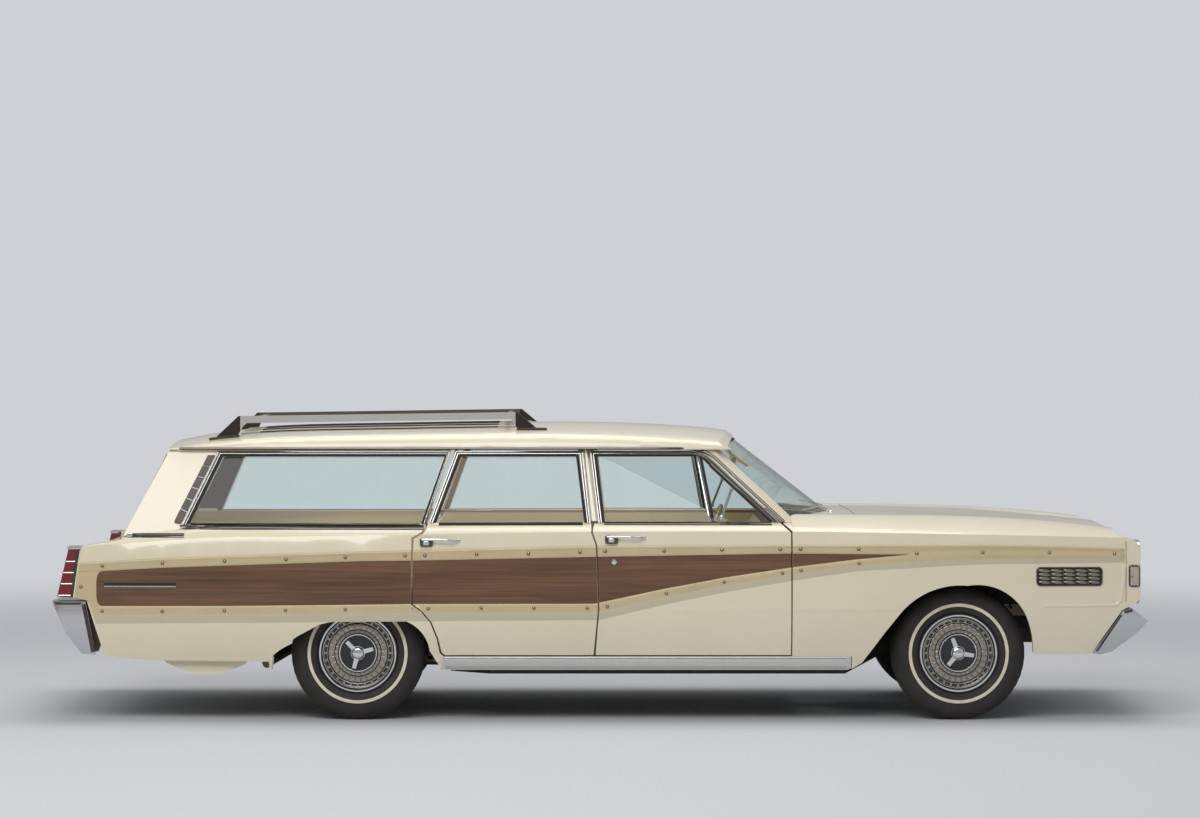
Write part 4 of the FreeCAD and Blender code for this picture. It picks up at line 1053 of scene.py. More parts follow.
# %% Plain bar on the rear quarter
bar_line = np.linspace((-2.482, .6775), (-2.122, .6775), 24)
bar_sheet = strip(bar_line, .008, .004, "quarter_panels", 5)
bar_dark = strip(bar_line + (0, .014), .013, .0022, "quarter_panels", 5)
piece_on_both_sides("quarter_bar", [bar_sheet], chrome, slot="bright_metal")
piece_on_both_sides("quarter_bar_backing", [bar_dark], rubber)
print("bar of", len(bar_line), "points on each rear quarter")

# %% Louvred panel on the fender
bronze = finish("bronze_metal", (0.30, 0.265, 0.225, 1.0), 0.3, metal=1.0)


def rounded_box_line(x0, x1, z0, z1, r, per=6):
    """Closed outline of a rectangle with round corners, as (x, z) points; the first point is repeated at the end."""
    line = []
    for cx, cz, start in ((x1 - r, z1 - r, 0), (x0 + r, z1 - r, 90), (x0 + r, z0 + r, 180), (x1 - r, z0 + r, 270)):
        a = np.radians(start + np.linspace(0, 90, per))
        line.append(np.stack([cx + r * np.cos(a), cz + r * np.sin(a)], axis=1))
    line = np.vstack(line)
    return np.vstack([line, line[:1]])


LOUVRE = (2.187, 2.512, .6845, .772)
LOUVRE_COLS, LOUVRE_ROWS = 5, 4
x0, x1, z0, z1 = LOUVRE
plate_grid = side_grid(constant(x0 + .004), constant(x1 - .004), constant(z0 + .004), constant(z1 - .004), 24, 8)
plate = laid_sheet(plate_grid, .0012, "front_fenders")
cell_w, cell_h = (x1 - x0 - .012) / LOUVRE_COLS, (z1 - z0 - .010) / LOUVRE_ROWS
u, v = np.linspace(0, 1, 13), np.linspace(-1, 1, 5)[:, None]
half_h = cell_h * (.10 + .34 * np.sin(math.pi * u) ** .8)
fin_height = .0025 + .0045 * (1 - np.abs(v) ** 2) * np.sin(math.pi * u) ** .5
fins = []
for left in x0 + .006 + np.arange(LOUVRE_COLS) * cell_w:
    for low in z0 + .005 + np.arange(LOUVRE_ROWS) * cell_h:
        fin_x = np.broadcast_to(left + .003 + u * (cell_w - .006), (5, 13))
        fin_z = low + cell_h * (.52 + .10 * np.cos(math.pi * u)) + v * half_h
        fins.append(laid_sheet(np.stack([fin_x, 0 * fin_x, fin_z], axis=-1), fin_height, "front_fenders"))
for post_x in x0 + .006 + np.arange(1, LOUVRE_COLS) * cell_w:
    post_line = np.linspace((post_x, z0 + .004), (post_x, z1 - .004), 8)
    fins.append(strip(post_line, .004, .0065, "front_fenders", 5))
rim = strip(rounded_box_line(x0, x1, z0, z1, .016), .009, .0068, "front_fenders", 5)
piece_on_both_sides("louvre_plate", [plate], rubber)
piece_on_both_sides("louvre_fins", fins, bronze)
piece_on_both_sides("louvre_rim", [rim], dark_trim)
print("louvred panel with", LOUVRE_COLS * LOUVRE_ROWS, "cells on each fender")

# %% Side lamp and seam at the fender's end
amber = finish("amber_lens", srgb(196, 110, 40), 0.2, coat=0.4)
side_lens = finish("side_lens", srgb(190, 184, 168), 0.18, coat=0.6)
LAMP = (2.652, 2.702, .679, .781)
FLUTES = 10
x0, x1, z0, z1 = LAMP
lens_grid = side_grid(constant(x0 + .004), constant(x1 - .003), constant(z0 + .004), constant(z1 - .004), 41, 12)
lens_height = .0048 + .0012 * np.cos(np.linspace(0, 2 * math.pi * FLUTES, 41))[None, :]
lens = laid_sheet(lens_grid, lens_height, "front_fenders")
rim = strip(rounded_box_line(x0, x1, z0, z1, .010), .0075, .0075, "front_fenders", 5)
spot = block(point_on("front_fenders", 2.664, .727, .006), (.005, .003, .0065), .8, 16)
piece_on_both_sides("side_lamp_lens", [lens], side_lens, slot="lamp_clear")
piece_on_both_sides("side_lamp_rim", [rim], dark_trim)
piece_on_both_sides("side_lamp_spot", [spot], amber)
seam = strip(np.linspace((2.634, .60), (2.636, .905), 24), .003, .0006, "front_fenders", 3)
piece_on_both_sides("fender_seam", [seam], dark_trim)
ridge_line = outline([(2.22, .581), (2.565, .584), ((2.596, .592), (2.610, .618)), (2.622, .70), (2.627, .79)], 12)
ridge = strip(ridge_line, .020, .0035, "front_fenders", 7, power=2)
piece_on_both_sides("fender_ridge", [ridge], paint, slot="body_paint")
print("side lamps, seams and ridges end the fenders")

# %% Rocker moulding
rocker_sheet = strip(np.linspace((-.775, .293), (1.238, .293), 90), .058, .0055, "rockers", 9, power=6)
rocker_groove = strip(np.linspace((-.772, .318), (1.236, .318), 60), .004, .0065, "rockers", 3)
piece_on_both_sides("rocker_moulding", [rocker_sheet], satin_metal, slot="satin_trim")
piece_on_both_sides("rocker_groove", [rocker_groove], rubber)
print("studs, handles, louvres and side lamps are on")

# %% [markdown]
# ## Lamps, glass trim and tailgate
# The head lamps are shallow domes in bright rings, one above the other at each corner. A tail lamp is one red lens
# cut by bright bars and closed by a bright cap. Both the windscreen and the tailgate glass have a bright surround
# with a rubber seal inside; the surround follows the glass, so its line is dropped onto the pane.


# %% Head lamps and grille
def facing_forward(part, place):
    """A part turned about Y, swung to look along +X and moved to its place."""
    p, q = part
    return p[:, [1, 0, 2]] + place, q[:, ::-1]


NODES["head_lamps"].data.materials[0] = finish("lamp_reflector", (0.78, 0.79, 0.80, 1.0), 0.18, metal=1.0)
LAMP_Y, LAMP_HEIGHTS = .842, (.825, .667)
dome_outline = [(0, .016), (.02, .0155), (.045, .012), (.062, .007), (.0705, .0022), (.0715, .0005),
                (.0715, -.0015), (0, -.0015)]
collar_outline = [(.0752, -.022), (.0752, .010), (.0765, .0125), (.0805, .0125), (.083, .010), (.0835, -.022)]
dome, collar = turned(dome_outline, 72), turned(collar_outline, 72, closed=True)
for hand, y in (("right", -LAMP_Y), ("left", LAMP_Y)):
    lenses = [facing_forward(dome, (2.691, y, z)) for z in LAMP_HEIGHTS]
    collars = [facing_forward(collar, (2.700, y, z)) for z in LAMP_HEIGHTS]
    make_piece("head_lamp_lenses_" + hand, lenses, lens_glass, "car_body", "lamp_clear")
    make_piece("head_lamp_rings_" + hand, collars, chrome, "car_body", "bright_metal")

GRILLE_BACK, GRILLE_FACE = 2.569, 2.5705      # the dark back of the grille, and where its bright bars begin
grille_finish = finish("grille_finish", (0.80, 0.80, 0.79, 1.0), 0.14, metal=1.0)
bright_share = spread(grille_finish, object_axis(grille_finish, "X"), 0.0, 1.0, GRILLE_BACK, GRILLE_FACE)
tinted(grille_finish, bright_share, (0.0, grey(0.012)), (1.0, (0.80, 0.80, 0.79, 1)))
roughened(grille_finish, bright_share, 0.7, 0.14)
wire(grille_finish, (bright_share, entry(grille_finish, "Metallic")))
NODES["grille"].data.materials[0] = grille_finish
print("head lamps have domes and rings")

# %% Tail lamps
LENS_Y = -.9455                               # outer side of the lens
BAR_HEIGHTS = (.802, .746, .690, .632)
front_x = table((.622, -2.641), (.862, -2.608))
back_x = table((.626, -2.722), (.866, -2.664))
bars = []
for z in BAR_HEIGHTS:
    fx, bx = float(front_x(z)), float(back_x(z))
    path = [(fx - .014, LENS_Y, z), (bx + .012, LENS_Y, z), (bx + .003, -.9435, z), (bx - .0012, -.936, z),
            (bx - .0015, -.90, z), (bx - .0015, -.85, z), (bx - .0015, -.810, z)]
    bars.append(rail(path, .0034, .0032))
cap = block((-2.636, -.877, .869), (.037, .073, .0075), .3)
bezel = strip(np.linspace((-2.6165, .862), (-2.6495, .624), 16), .017, .005, "tail_lamps", 5)
piece_on_both_sides("tail_lamp_bars", [cap] + bars, chrome, slot="bright_metal")
piece_on_both_sides("tail_lamp_bezel", [bezel], dark_trim)
print("tail lamps have", len(bars), "bars each")


# %% Glass surrounds
def across(line, node, way, out):
    """The 3-D line on a pane below a (y, z) line, moved off the pane by `out`."""
    found = drop(np.stack([np.zeros(len(line)), line[:, 0], line[:, 1]], axis=-1), node, way)
    found[:, 0] += -out if way["positive"] else out
    return found


SEAL_INSET = .012
SCREEN = [(-.798, 1.014), (.798, 1.014), (.634, 1.366), ((0, 1.408), (-.634, 1.366)), (-.798, 1.014)]
GATE_GLASS = [(-.690, .922), (.690, .922), (.592, 1.334), (-.592, 1.334), (-.690, .922)]
for name, corners, node, way in (("windscreen", SCREEN, "windscreen", FRONT),
                                 ("tailgate_glass", GATE_GLASS, "cargo_glass", BACK)):
    loop = outline(corners, 22)
    centre = loop[:-1].mean(axis=0)
    inner_loop = centre + (loop - centre) * (1 - SEAL_INSET / np.linalg.norm(loop - centre, axis=1))[:, None]
    surround, seal = across(loop, node, way, .002), across(inner_loop, node, way, .001)
    make_piece(name + "_surround", [rail(surround, .008, .008)], chrome, "car_body", "bright_metal")
    make_piece(name + "_seal", [rail(seal, .006, .006)], rubber, "car_body")
print("both glasses have a surround and a seal")

# %% Wipers and mirror
BLADE_LENGTH, BLADE_LOW, BLADE_RISE = .46, 1.046, .010
wipers = []
for y0, pivot in ((-.60, -.33), (.02, .30)):
    blade_line = np.linspace((y0, BLADE_LOW), (y0 + BLADE_LENGTH, BLADE_LOW + BLADE_RISE), 16)
    blade = across(blade_line, "windscreen", FRONT, .014)
    wipers.append(rail(blade, .0035, .005))
    start = np.array((blade[12, 0] + .055, pivot, 1.030))
    wipers.append(rail(np.linspace(start, blade[8] + (.006, 0, .004), 10), .0045, .0035))
    wipers.append(block(start - (0, 0, .006), (.011, .011, .012), .8, 16))
make_piece("wipers", wipers, satin_metal, "car_body", "satin_trim")
mirror = block((.700, 0, 1.272), (.011, .120, .028), .35)
stay = rail(np.linspace((.690, 0, 1.290), (.640, 0, 1.392), 8), .006, .006)
make_piece("inner_mirror", [mirror, stay], chrome, "car_body", "bright_metal")
print("two wipers and a mirror")

# %% Tailgate
gate_film = laid_sheet(upright_grid(-.70, .70, .672, .842, 60, 12), .0006, "tailgate", BACK)
make_piece("tailgate_film", [gate_film], wood_film, "gate", "body_paint")


def gate_strip(line, width, height, count=7):
    """Strip on the tailgate along a (y, z) line."""
    flat = along(np.asarray(line, float), width, count)[..., [1, 0, 2]]
    return laid_sheet(flat, rounded(count, height, 3), "tailgate", BACK)


GATE_HANDLE, GATE_LEAN_DEG = (-2.5785, 0, .742), 23.3
frame_line = rounded_box_line(-.722, .722, .655, .860, .03)
make_piece("tailgate_moulding", [gate_strip(frame_line, .034, .006)], moulding_paint, "gate", "body_paint")
handle = [block(GATE_HANDLE, (.006, .082, .024), .35), block((-2.592, 0, .748), (.009, .060, .009), .5)]
handle = [spun(part, 1, GATE_LEAN_DEG, GATE_HANDLE) for part in handle]
make_piece("tailgate_handle", handle, chrome, "gate", "bright_metal")
print("the tailgate has its film, moulding and handle")


# %% Finish of the rack
def beyond(owner, value, offset, limit):
    """1 where the distance of value from -offset is more than limit, else 0."""
    shift = add_node(owner, "Math", {1: offset}, operation="ADD")
    size = add_node(owner, "Math", operation="ABSOLUTE")
    step = add_node(owner, "Math", {1: limit}, operation="GREATER_THAN")
    wire(owner, (value, shift.inputs[0]), (shift.outputs[0], size.inputs[0]), (size.outputs[0], step.inputs[0]))
    return step.outputs[0]


def either(owner, choice, first, second):
    """The second colour where choice is 1, else the first."""
    pick = add_node(owner, "Mix", data_type="RGBA")
    wire(owner, (choice, pick.inputs[0]), (first, pick.inputs[6]), (second, pick.inputs[7]))
    return pick.outputs[2]


# The inner faces of the rails take a dark brown tone: painted shade.
LIGHT_RAIL, INNER_SHADE_RAIL, DARK_RAIL = (0.62, 0.60, 0.54, 1), (0.15, 0.13, 0.11, 1), (0.055, 0.045, 0.038, 1)
RACK_MIDDLE, RAIL_REACH, STRIP_REACH = -1.133, .702, .610    # middle of the rack, half-lengths of its light parts
INNER_FACE_Y, STRIP_Y = .5575, .550     # a rail's inner face lies within the first, the roof strips within the second
rack_finish = finish("rack_finish", (0.60, 0.57, 0.50, 1.0), 0.3, metal=0.85)
rack_x, rack_y = object_axis(rack_finish, "X"), object_axis(rack_finish, "Y")
past_rail = beyond(rack_finish, rack_x, -RACK_MIDDLE, RAIL_REACH)
past_strip = beyond(rack_finish, rack_x, -RACK_MIDDLE, STRIP_REACH)
rail_tone = ramp(rack_finish, past_rail, (0.0, LIGHT_RAIL), (1.0, DARK_RAIL))
inner_shade_tone = ramp(rack_finish, past_rail, (0.0, INNER_SHADE_RAIL), (1.0, DARK_RAIL))
strip_tone = ramp(rack_finish, past_strip, (0.0, DARK_RAIL), (1.0, LIGHT_RAIL))
# A rail's inner face, nearer the middle than INNER_FACE_Y, is painted darker: painted shade.
rails = either(rack_finish, beyond(rack_finish, rack_y, 0.0, INNER_FACE_Y), inner_shade_tone, rail_tone)
rack_color = either(rack_finish, beyond(rack_finish, rack_y, 0.0, STRIP_Y), strip_tone, rails)
wire(rack_finish, (rack_color, entry(rack_finish, "Base Color")))
NODES["roof_rack"].data.materials[0] = rack_finish
print("light rails, brown inside, dark feet")

# %% Feet of the rack
feet = []
for x in (-1.918, -.348):
    behind_foot, under_foot, before_foot = drop([[x - .05, -.57, 0], [x, -.57, 0], [x + .05, -.57, 0]], "roof", TOP)
    tilt = math.degrees(math.atan2(behind_foot[2] - before_foot[2], .10))
    plate = spun(block((0, 0, 0), (.078, .024, .0065), .3), 1, tilt, (0, 0, 0))
    feet.append(moved(plate, under_foot + (0, 0, .004)))
piece_on_both_sides("rack_feet", feet, dark_trim, slot="satin_trim")
print("lamps, surrounds, tailgate and rack are dressed")

# %% [markdown]
# ## Cabin
# The two benches are stuffed pads. Each starts as a plain block a little smaller than its CAD solid, is remeshed into
# even quads and inflated by Blender's cloth solver for twenty frames; the swelling is capped and written back, and
# the sewn channels are pressed in afterwards. Tan cards, brown pillar trim, a ribbed headliner and a carpet are
# sheets dropped onto the inner faces of the panels, so a door's card swings with its door.

# %% Finishes of the cabin
brown_trim = finish("brown_trim", srgb(132, 92, 56), 0.55)
dark_brown = finish("dark_brown", srgb(66, 50, 38), 0.6)
for trim in (brown_trim, dark_brown):
    bumped(trim, noise(trim, 600.0, detail=3.0), 0.2, 0.0005)
lining = finish("roof_lining", srgb(206, 192, 158), 0.85)
bumped(lining, noise(lining, 420.0, detail=2.0), 0.3, 0.0008)
carpet = finish("carpet", srgb(126, 102, 70), 0.95)
tinted(carpet, noise(carpet, 260.0, detail=6.0), (0.3, srgb(104, 82, 56)), (0.7, srgb(142, 118, 82)))
bumped(carpet, noise(carpet, 900.0, detail=3.0), 0.6, 0.002)
seat_vinyl = finish("seat_vinyl", srgb(188, 168, 122), 0.42)
tinted(seat_vinyl, noise(seat_vinyl, 7.0, detail=4.0), (0.3, srgb(180, 160, 114)), (0.7, srgb(194, 175, 130)))
bumped(seat_vinyl, noise(seat_vinyl, 800.0, detail=3.0), 0.22, 0.0006)
print("trim, lining, carpet and seat vinyl are mixed")


# %% Blocks of the benches
def prism_mesh(name, profile, half):
    """Closed mesh of an (x, z) outline, counter-clockwise, drawn out from y = -half to y = half."""
    n = len(profile)
    points = [(x, -half, z) for x, z in profile] + [(x, half, z) for x, z in profile]
    faces = [tuple(range(n)), tuple(range(2 * n - 1, n - 1, -1))]
    faces += [((i + 1) % n, i, n + i, n + (i + 1) % n) for i in range(n)]
    mesh = bpy.data.meshes.new(name)
    mesh.from_pydata(points, [], faces)
    return mesh


def positions(mesh):
    """Where the points of a mesh are."""
    flat = np.empty(len(mesh.vertices) * 3, np.float32)
    mesh.vertices.foreach_get("co", flat)
    return flat.reshape(-1, 3).astype(float)


print("a bench starts as a plain block")

# %% Stuffing
VOXEL, PRESSURE, CLOTH_QUALITY, CLOTH_FRAMES = 0.012, 4.0, 4, 20
MOST_SWELLING = 0.022


def stuffed(name, profile, half):
    """Remeshed block, inflated by cloth pressure; no point ends farther than MOST_SWELLING from where it began."""
    block_obj = bpy.data.objects.new(name, prism_mesh(name, profile, half))
    scene.collection.objects.link(block_obj)
    remesh = block_obj.modifiers.new("even_quads", "REMESH")
    remesh.mode, remesh.voxel_size = "VOXEL", VOXEL
    graph = bpy.context.evaluated_depsgraph_get()
    even = bpy.data.meshes.new_from_object(block_obj.evaluated_get(graph))
    block_obj.modifiers.clear()
    block_obj.data = even
    start = positions(even)
    cloth = block_obj.modifiers.new("inflate", "CLOTH")
    cloth.settings.use_pressure = True
    cloth.settings.uniform_pressure_force = PRESSURE
    cloth.settings.quality = CLOTH_QUALITY
    cloth.settings.effector_weights.gravity = 0.0
    cloth.point_cache.frame_start, cloth.point_cache.frame_end = 1, CLOTH_FRAMES
    for step in range(1, CLOTH_FRAMES + 1):
        scene.frame_set(step)
    swollen = block_obj.evaluated_get(bpy.context.evaluated_depsgraph_get())
    end = positions(swollen.data)
    block_obj.modifiers.clear()
    scene.frame_set(1)
    move = end - start
    far = np.linalg.norm(move, axis=1)
    start = start + move * np.minimum(1.0, MOST_SWELLING / np.maximum(far, 1e-9))[:, None]
    even.vertices.foreach_set("co", start.astype(np.float32).reshape(-1))
    even.update()
    return block_obj


print("a block can be stuffed for", CLOTH_FRAMES, "frames")

# %% Sewn channels
CHANNEL_PITCH, CHANNEL_DEPTH = .062, .005
BORDER, BORDER_FADE, SEAM_WIDTH = .09, .03, .008


def press_channels(obj, half):
    """Sewn channels: depth * (1 - |cos|^0.5 of pi y / pitch) along the normal, inside the border seam."""
    mesh = obj.data
    at = positions(mesh)
    normals = np.empty(len(mesh.vertices) * 3, np.float32)
    mesh.vertex_normals.foreach_get("vector", normals)
    normals = normals.reshape(-1, 3)
    to_border = half - BORDER - np.abs(at[:, 1])
    inside = np.clip(to_border / BORDER_FADE, 0, 1)
    lane = np.abs(np.cos(math.pi * at[:, 1] / CHANNEL_PITCH)) ** .5
    seam = np.exp(-(to_border / SEAM_WIDTH) ** 2)
    push = -CHANNEL_DEPTH * (inside * (1 - lane) + .9 * seam)
    at += normals * push[:, None]
    mesh.vertices.foreach_set("co", at.astype(np.float32).reshape(-1))
    mesh.update()


print("channels every", CHANNEL_PITCH, "m")

# %% Benches
HALF_WIDTH = .706
for row, back_x, front_x in (("front", -.030, .560), ("rear", -.790, -.230)):
    seat_line = [(back_x + .074, .414), (front_x - .014, .414), (front_x - .012, .505), (front_x - .026, .532),
                 (front_x - .062, .545), (back_x + .074, .520)]
    back_low = .418 if row == "front" else .588
    back_line = [(back_x - .048, back_low), (back_x + .040, back_low), (back_x - .030, .925),
                 (back_x - .048, .942), (back_x - .064, .928)]
    for part_name, line in (("cushion", seat_line), ("backrest", back_line)):
        pad = stuffed(f"{row}_{part_name}", line, HALF_WIDTH)
        press_channels(pad, HALF_WIDTH)
        pad.data.polygons.foreach_set("use_smooth", [True] * len(pad.data.polygons))
        pad.data.materials.clear()
        pad.data.materials.append(seat_vinyl)
        level = pad.modifiers.new("smooth", "SUBSURF")
        level.levels = level.render_levels = 1
        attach(pad, "car_body")
        if part_name == "cushion" and row == "front":
            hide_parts("seats")
risers = [block(((x_from + x_to) / 2, y, .368), ((x_to - x_from) / 2, .230, .048), .12, 32)
          for x_from, x_to in ((-.070, .500), (-.700, -.290)) for y in (-.445, .445)]
make_piece("seat_risers", risers, dark_brown, "car_body", "inner_paint")
print("benches: four stuffed pads on risers")

# %% Door cards
INSIDE = {"axis": 1, "from": 0.0, "positive": False}     # from the centre of the car, moving towards -Y
UNDER = {"axis": 2, "from": 0.9, "positive": True}       # from the cabin, moving up


CARD_EDGE, CARD_MIDDLE, CARD_COLS, CARD_ROWS = .0018, .008, 60, 30
PLEATS, PLEAT_DEPTH = 14, .0012


def card(x_from, x_to, z_from, z_to, node):
    """Trim card with a thin border and a raised middle, pleated across its upper part."""
    grid = side_grid(x_from, x_to, z_from, z_to, CARD_COLS, CARD_ROWS)
    u, v = np.meshgrid(np.linspace(0, 1, CARD_COLS), np.linspace(0, 1, CARD_ROWS))
    middle = np.clip(np.minimum.reduce([u / .12, (1 - u) / .12, v / .22, (1 - v) / .14]) * 2 - 1.2, 0, 1)
    pleat = PLEAT_DEPTH * np.abs(np.sin(math.pi * u * PLEATS)) * (middle > .99) * (v > .35)
    return laid_sheet(grid, CARD_EDGE + (CARD_MIDDLE - CARD_EDGE) * middle - pleat, node, INSIDE)


DOOR_CARDS = (
    # node stem, bodies, rear edge, front edge, rear and front end of the armrest
    ("front_door", FRONT_DOORS, shifted(DOOR_SEAM, .060), constant(.925), .30, .62),
    ("rear_door", REAR_DOORS, shifted(DOOR_REAR, .060), shifted(DOOR_SEAM, -.034), -.62, -.30))
for stem, bodies, rear_edge, front_edge, pull_x0, pull_x1 in DOOR_CARDS:
    node = stem + "_right"
    door_card = card(rear_edge, front_edge, constant(.40), constant(.972), node)
    piece_on_both_sides("door_card_" + stem, [door_card], vinyl, bodies, "vinyl")
    sill_grid = side_grid(rear_edge, front_edge, constant(.974), constant(.988), 60, 5)
    sill = laid_sheet(sill_grid, rounded(5, .0018), node, INSIDE)
    piece_on_both_sides("door_sill_" + stem, [sill], brown_trim, bodies, "vinyl")
    rest = block(((pull_x0 + pull_x1) / 2, -.815, .70), ((pull_x1 - pull_x0) / 2, .034, .026), .45, 32)
    piece_on_both_sides("armrest_" + stem, [rest], seat_vinyl, bodies, "vinyl")
    hub_x, pull_x = pull_x1 + .10, pull_x0 + .06
    crank = [block((hub_x, -.838, .66), (.024, .012, .024), .8, 20),
             rail(np.linspace((hub_x, -.826, .66), (hub_x - .02, -.818, .765), 8), .005, .006),
             block((hub_x - .021, -.812, .77), (.012, .016, .012), .7, 20),
             block((pull_x, -.838, .80), (.020, .010, .014), .7, 20),
             rail(np.linspace((pull_x, -.826, .80), (pull_x + .085, -.826, .802), 8), .005, .007)]
    line = np.linspace((rear_edge(.62) + .03, .622), (front_edge(.62) - .02, .622), 40)
    crank.append(strip(line, .010, .0022, node, 5, INSIDE))
    piece_on_both_sides("door_crank_" + stem, crank, chrome, bodies, "bright_metal")
for stem, bodies, outer, inner in DOOR_WINDOWS:
    frame_in = laid_sheet(between(outer, inner, .25, .92, 6), rounded(6, .0012), stem + "_right", INSIDE)
    piece_on_both_sides("inner_frame_" + stem, [frame_in], brown_trim, bodies, "vinyl")
print("cards, armrests and cranks are on four doors")

# %% Cargo sides and pillar trim
card_grid = side_grid(constant(-2.33), constant(-.965), constant(.80), constant(.972), 60, 16)
sill_grid = side_grid(constant(-2.30), constant(-.93), constant(.973), constant(.986), 60, 5)
cargo_card = laid_sheet(card_grid, .004, "quarter_panels", INSIDE)
cargo_sill = laid_sheet(sill_grid, rounded(5, .003), "quarter_panels", INSIDE)
piece_on_both_sides("cargo_side_panel", [cargo_card, cargo_sill], vinyl, slot="vinyl")
rear_line = np.linspace((-2.082, 1.000), (-1.930, 1.325), 24)
back_line = np.linspace((-2.235, 1.000), (-2.075, 1.325), 24)
pillar_in = laid_sheet(between(back_line, rear_line, 0, 1, 12), .002, "quarter_panels", INSIDE)
frame_in = cargo_sheet(.3, .92, rounded(6, .002), way=INSIDE)
piece_on_both_sides("cargo_pillar_trim", [pillar_in, frame_in], dark_brown, slot="vinyl")
post_rear = np.linspace((-.064, 1.02), (-.104, 1.345), 20)
post_front = np.linspace((.014, 1.02), (-.034, 1.345), 20)
post_trim = laid_sheet(between(post_rear, post_front, .02, .98, 8), rounded(8, .002), "cowl_pillars", INSIDE)
piece_on_both_sides("post_trim", [post_trim], brown_trim, slot="vinyl")
print("cargo sides and posts are lined")

# %% Wheel boxes
BOX_X, BOX_Z, BOX_R = -1.219, .354, .4205       # axis and radius of the wheelhouse cover
BOX_Y, BOX_OUTER_Y, BOX_FLOOR = .5832, .846, .588
low = math.asin((BOX_FLOOR - BOX_Z) / BOX_R)
sweep = np.linspace(math.pi - low, low, 49)
arc_x, arc_z = BOX_X + BOX_R * np.cos(sweep), BOX_Z + BOX_R * np.sin(sweep)
v = np.linspace(0, 1, 8)[:, None]
every = np.ones((8, 49))
side_wall = np.stack([arc_x * every, -BOX_Y * every, BOX_FLOOR + (arc_z - BOX_FLOOR) * v], axis=-1)
crown = np.stack([arc_x * every, -BOX_Y - v * (BOX_OUTER_Y - BOX_Y) * every, arc_z * every], axis=-1)
wheel_box = np.concatenate([side_wall, crown[1:]])
box_part = (wheel_box, grid_faces(*wheel_box.shape[:2]))
piece_on_both_sides("wheel_box_cover", [box_part], vinyl, slot="vinyl")
print("wheel boxes are covered")

# %% Load floor, carpet and headliner
floor_cover = laid_sheet(level_grid(-2.36, -.97, -.56, .56, 50, 24), .003, "load_floor", TOP)
make_piece("load_floor_cover", [floor_cover], carpet, "car_body", "vinyl")
runners = []
for y in (-.42, -.21, 0, .21, .42):
    runner_grid = level_grid(-2.34, -.99, y - .011, y + .011, 50, 5)
    runners.append(laid_sheet(runner_grid, rounded(5, .0065), "load_floor", TOP))
make_piece("load_floor_runners", runners, satin_metal, "car_body", "satin_trim")
carpet_sheet = laid_sheet(level_grid(-.68, .99, -.78, .78, 80, 60), .005, "floor_pan", TOP)
make_piece("cabin_carpet", [carpet_sheet], carpet, "car_body", "vinyl")
BOW_PITCH, BOW_WIDTH = .42, .012
lining_grid = level_grid(-2.06, .50, -.55, .55, 129, 40)
from_bow = (lining_grid[..., 0] + .10) % BOW_PITCH - BOW_PITCH / 2
headliner = laid_sheet(lining_grid, .004 + .004 * np.exp(-(from_bow / BOW_WIDTH) ** 2), "roof", UNDER)
make_piece("headliner", [headliner], lining, "car_body", "vinyl")
print("cards, pillar trim, floor covers and headliner are in")

# %% [markdown]
# ## Last fittings
# The dash gets a dark padded top, a bright band and a cluster of round dials, and the steering wheel a horn ring. Sun
# visors hang behind the top of the windscreen, and a bright latch bar crosses each vent window. Outside, dark seals
# line the bumpers and the edges of the rear pillars, and a faint crease runs low along the front door and the fender.

# %% Dash
REARWARD = {"axis": 0, "from": -0.2, "positive": True}     # from the cabin, moving forward
dash_top = laid_sheet(level_grid(.835, .985, -.775, .775, 16, 60), .005, "dashboard", TOP)
make_piece("dash_top_pad", [dash_top], dark_brown, "car_body", "dash_plastic")
cluster = laid_sheet(upright_grid(.13, .63, .818, .906, 30, 12), .003, "dashboard", REARWARD)
radio = laid_sheet(upright_grid(-.13, .05, .826, .890, 16, 8), .003, "dashboard", REARWARD)
make_piece("dash_cluster", [cluster, radio], rubber, "car_body", "dash_plastic")


def dial_ring(y, z, radius):
    """Bright ring round a dial on the dash."""
    turn = np.linspace(0, 2 * math.pi, 41)
    circle = np.stack([y + radius * np.cos(turn), z + radius * np.sin(turn)], axis=1)
    return rail(across(circle, "dashboard", REARWARD, .005), .0022, .0022)


dials = [dial_ring(y, .862, r) for y, r in ((.175, .022), (.265, .034), (.38, .036), (.495, .034), (.585, .022))]
dials += [dial_ring(y, .858, .010) for y in (-.105, .025)]
band = np.linspace((-.77, .806), (.77, .806), 80)
band_rail = rail(across(band, "dashboard", REARWARD, .002), .004, .005)
make_piece("dash_bright", dials + [band_rail], chrome, "car_body", "bright_metal")
print(len(dials), "rings on the dash")

# %% Horn ring
HUB, COLUMN_ANGLE = np.array((.560, .380, .850)), math.radians(64.0)
HORN_R, HORN_LIFT = .118, .012
wheel_across = np.array((0, 1.0, 0))
wheel_up = np.array((math.cos(COLUMN_ANGLE), 0, math.sin(COLUMN_ANGLE)))
wheel_out = np.array((-math.sin(COLUMN_ANGLE), 0, math.cos(COLUMN_ANGLE)))
turn = np.linspace(math.radians(195), math.radians(345), 40)[:, None]
horn_line = HUB + HORN_R * (np.cos(turn) * wheel_across + np.sin(turn) * wheel_up) + HORN_LIFT * wheel_out
horn_ring = rail(horn_line, .0045, .0045, up=wheel_out)
cap, cap_faces = turned([(0, .030), (.018, .029), (.034, .024), (.041, .014), (.043, 0), (0, 0)], 40)
cap = HUB + cap[:, :1] * wheel_across + cap[:, 2:] * wheel_up + cap[:, 1:2] * wheel_out
make_piece("horn_ring", [horn_ring, (cap, cap_faces[:, ::-1])], chrome, "car_body", "bright_metal")
print("the steering wheel has a horn ring")

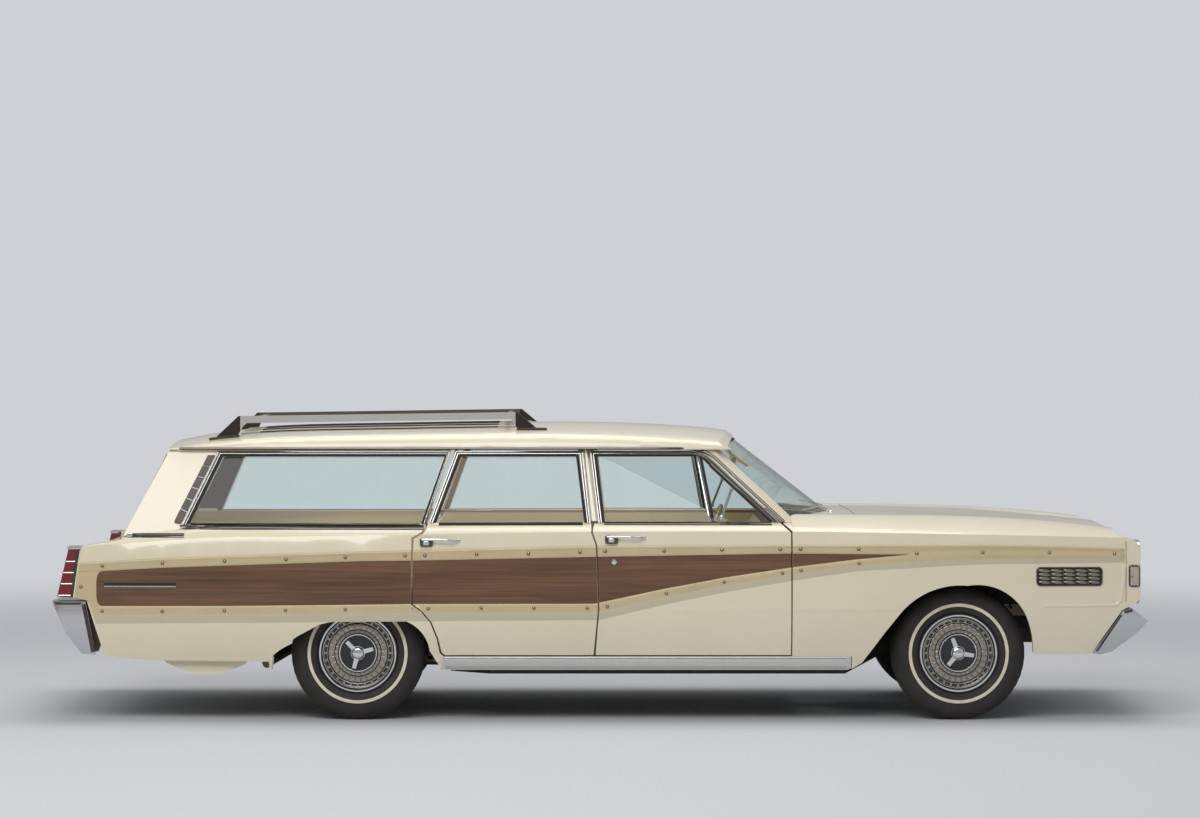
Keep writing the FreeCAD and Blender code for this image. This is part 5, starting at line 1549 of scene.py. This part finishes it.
# %% Visors and vent latches
visors = []
for y in (-.33, .33):
    top, low = across(np.array([(y, 1.345), (y, 1.290)]), "windscreen", FRONT, 0)
    lean = math.degrees(math.atan2(top[2] - low[2], low[0] - top[0]))
    middle = (top + low) / 2 - (.050, 0, .012)
    visors.append(spun(block(middle, (.062, .235, .008), .3, 32), 1, lean, middle))
make_piece("sun_visors", visors, vinyl, "car_body", "vinyl")
latch = on_surface(np.linspace((.664, 1.158), (.613, 1.018), 12), "front_door_right_glass", -.014)
latch_parts = [rail(latch, .0065, .0065), block(latch[-1], (.010, .009, .013), .7, 20),
               block(latch[0], (.009, .009, .010), .7, 20)]
piece_on_both_sides("vent_latch", latch_parts, chrome, FRONT_DOORS, "bright_metal")
print("visors and latches are on")

# %% Bumper finish
bumper_chrome = finish("bumper_chrome", (0.56, 0.57, 0.58, 1.0), 0.10, metal=1.0)
bumper_z = object_axis(bumper_chrome, "Z")
# The base colour follows height: lighter on the face, as if mirroring the pale floor, and darker on the top lip: a
# painted reflection.
tinted(bumper_chrome, spread(bumper_chrome, bumper_z, 0.0, 1.0, .32, .60),
       (0.0, (0.50, 0.51, 0.52, 1)), (0.72, (0.62, 0.63, 0.64, 1)), (1.0, (0.40, 0.39, 0.37, 1)))
flat_top = spread(bumper_chrome, bumper_z, 0.0, .42, .546, .564)
fine = spread(bumper_chrome, noise(bumper_chrome, 30.0, detail=5.0), 0.06, 0.14)
rougher = add_node(bumper_chrome, "Math", operation="MAXIMUM")
wire(bumper_chrome, (fine, rougher.inputs[0]), (flat_top, rougher.inputs[1]),
     (rougher.outputs[0], entry(bumper_chrome, "Roughness")))
for bumper in ("front_bumper", "rear_bumper"):
    NODES[bumper].data.materials[0] = bumper_chrome
print("bumpers darken at the top and grow dull on their flat upper side")

# %% Seals, fillers and shield
SEALS = (
    # node, start and end, points, width
    ("rear_bumper", (-2.588, .588), (-2.541, .348), 30, .020),
    ("rear_bumper", (-2.600, .592), (-2.735, .592), 20, .013),
    ("front_bumper", (2.612, .535), (2.488, .352), 30, .012),
    ("front_bumper", (2.628, .548), (2.668, .559), 10, .014),
)
seals = [strip(np.linspace(start, end, count), width, .0030, node, 5) for node, start, end, count, width in SEALS]
piece_on_both_sides("bumper_seals", seals, dark_trim)
FILLER, FILLER_LEAN_DEG = (-2.545, -.880, .452), 14.4
filler = spun(block(FILLER, (.050, .010, .098), .1, 20), 1, FILLER_LEAN_DEG, FILLER)
piece_on_both_sides("bumper_filler", [filler], dark_trim)
shield = block((2.566, 0, .538), (.004, .745, .072), .12, 20)
make_piece("stone_shield", [shield], dark_trim, "car_body")
gate_edge = across(np.linspace((-.742, .935), (-.648, 1.330), 30), "quarter_panels", BACK, .002)
piece_on_both_sides("rear_pillar_seal", [rail(gate_edge, .008, .008)], dark_trim)
belt_end, roof_end = on_surface(np.array([(-2.362, .9315), (-2.128, 1.357)]), "quarter_panels", .004)
caps = [block(belt_end, (.015, .006, .012), .5, 20), block(roof_end, (.014, .006, .008), .5, 20)]
piece_on_both_sides("trim_end_caps", caps, chrome, slot="bright_metal")
print(len(seals), "seals a side on the bumpers")

# %% Low crease
for stem, bodies, x0, x1 in (("front_door", FRONT_DOORS, .36, .952), ("front_fenders", ON_BODY, .968, 1.492)):
    xs = np.linspace(x0, x1, 60)
    line = np.stack([xs, .566 + .004 * (xs - .06)], axis=1)
    crease = strip(line, .036, .0014, right_node(stem), 9, power=1.3)
    piece_on_both_sides("low_crease_" + stem, [crease], paint, bodies, "body_paint", smooth_deg=60)
print("dash, visors, latches, bumper seals and creases are on")
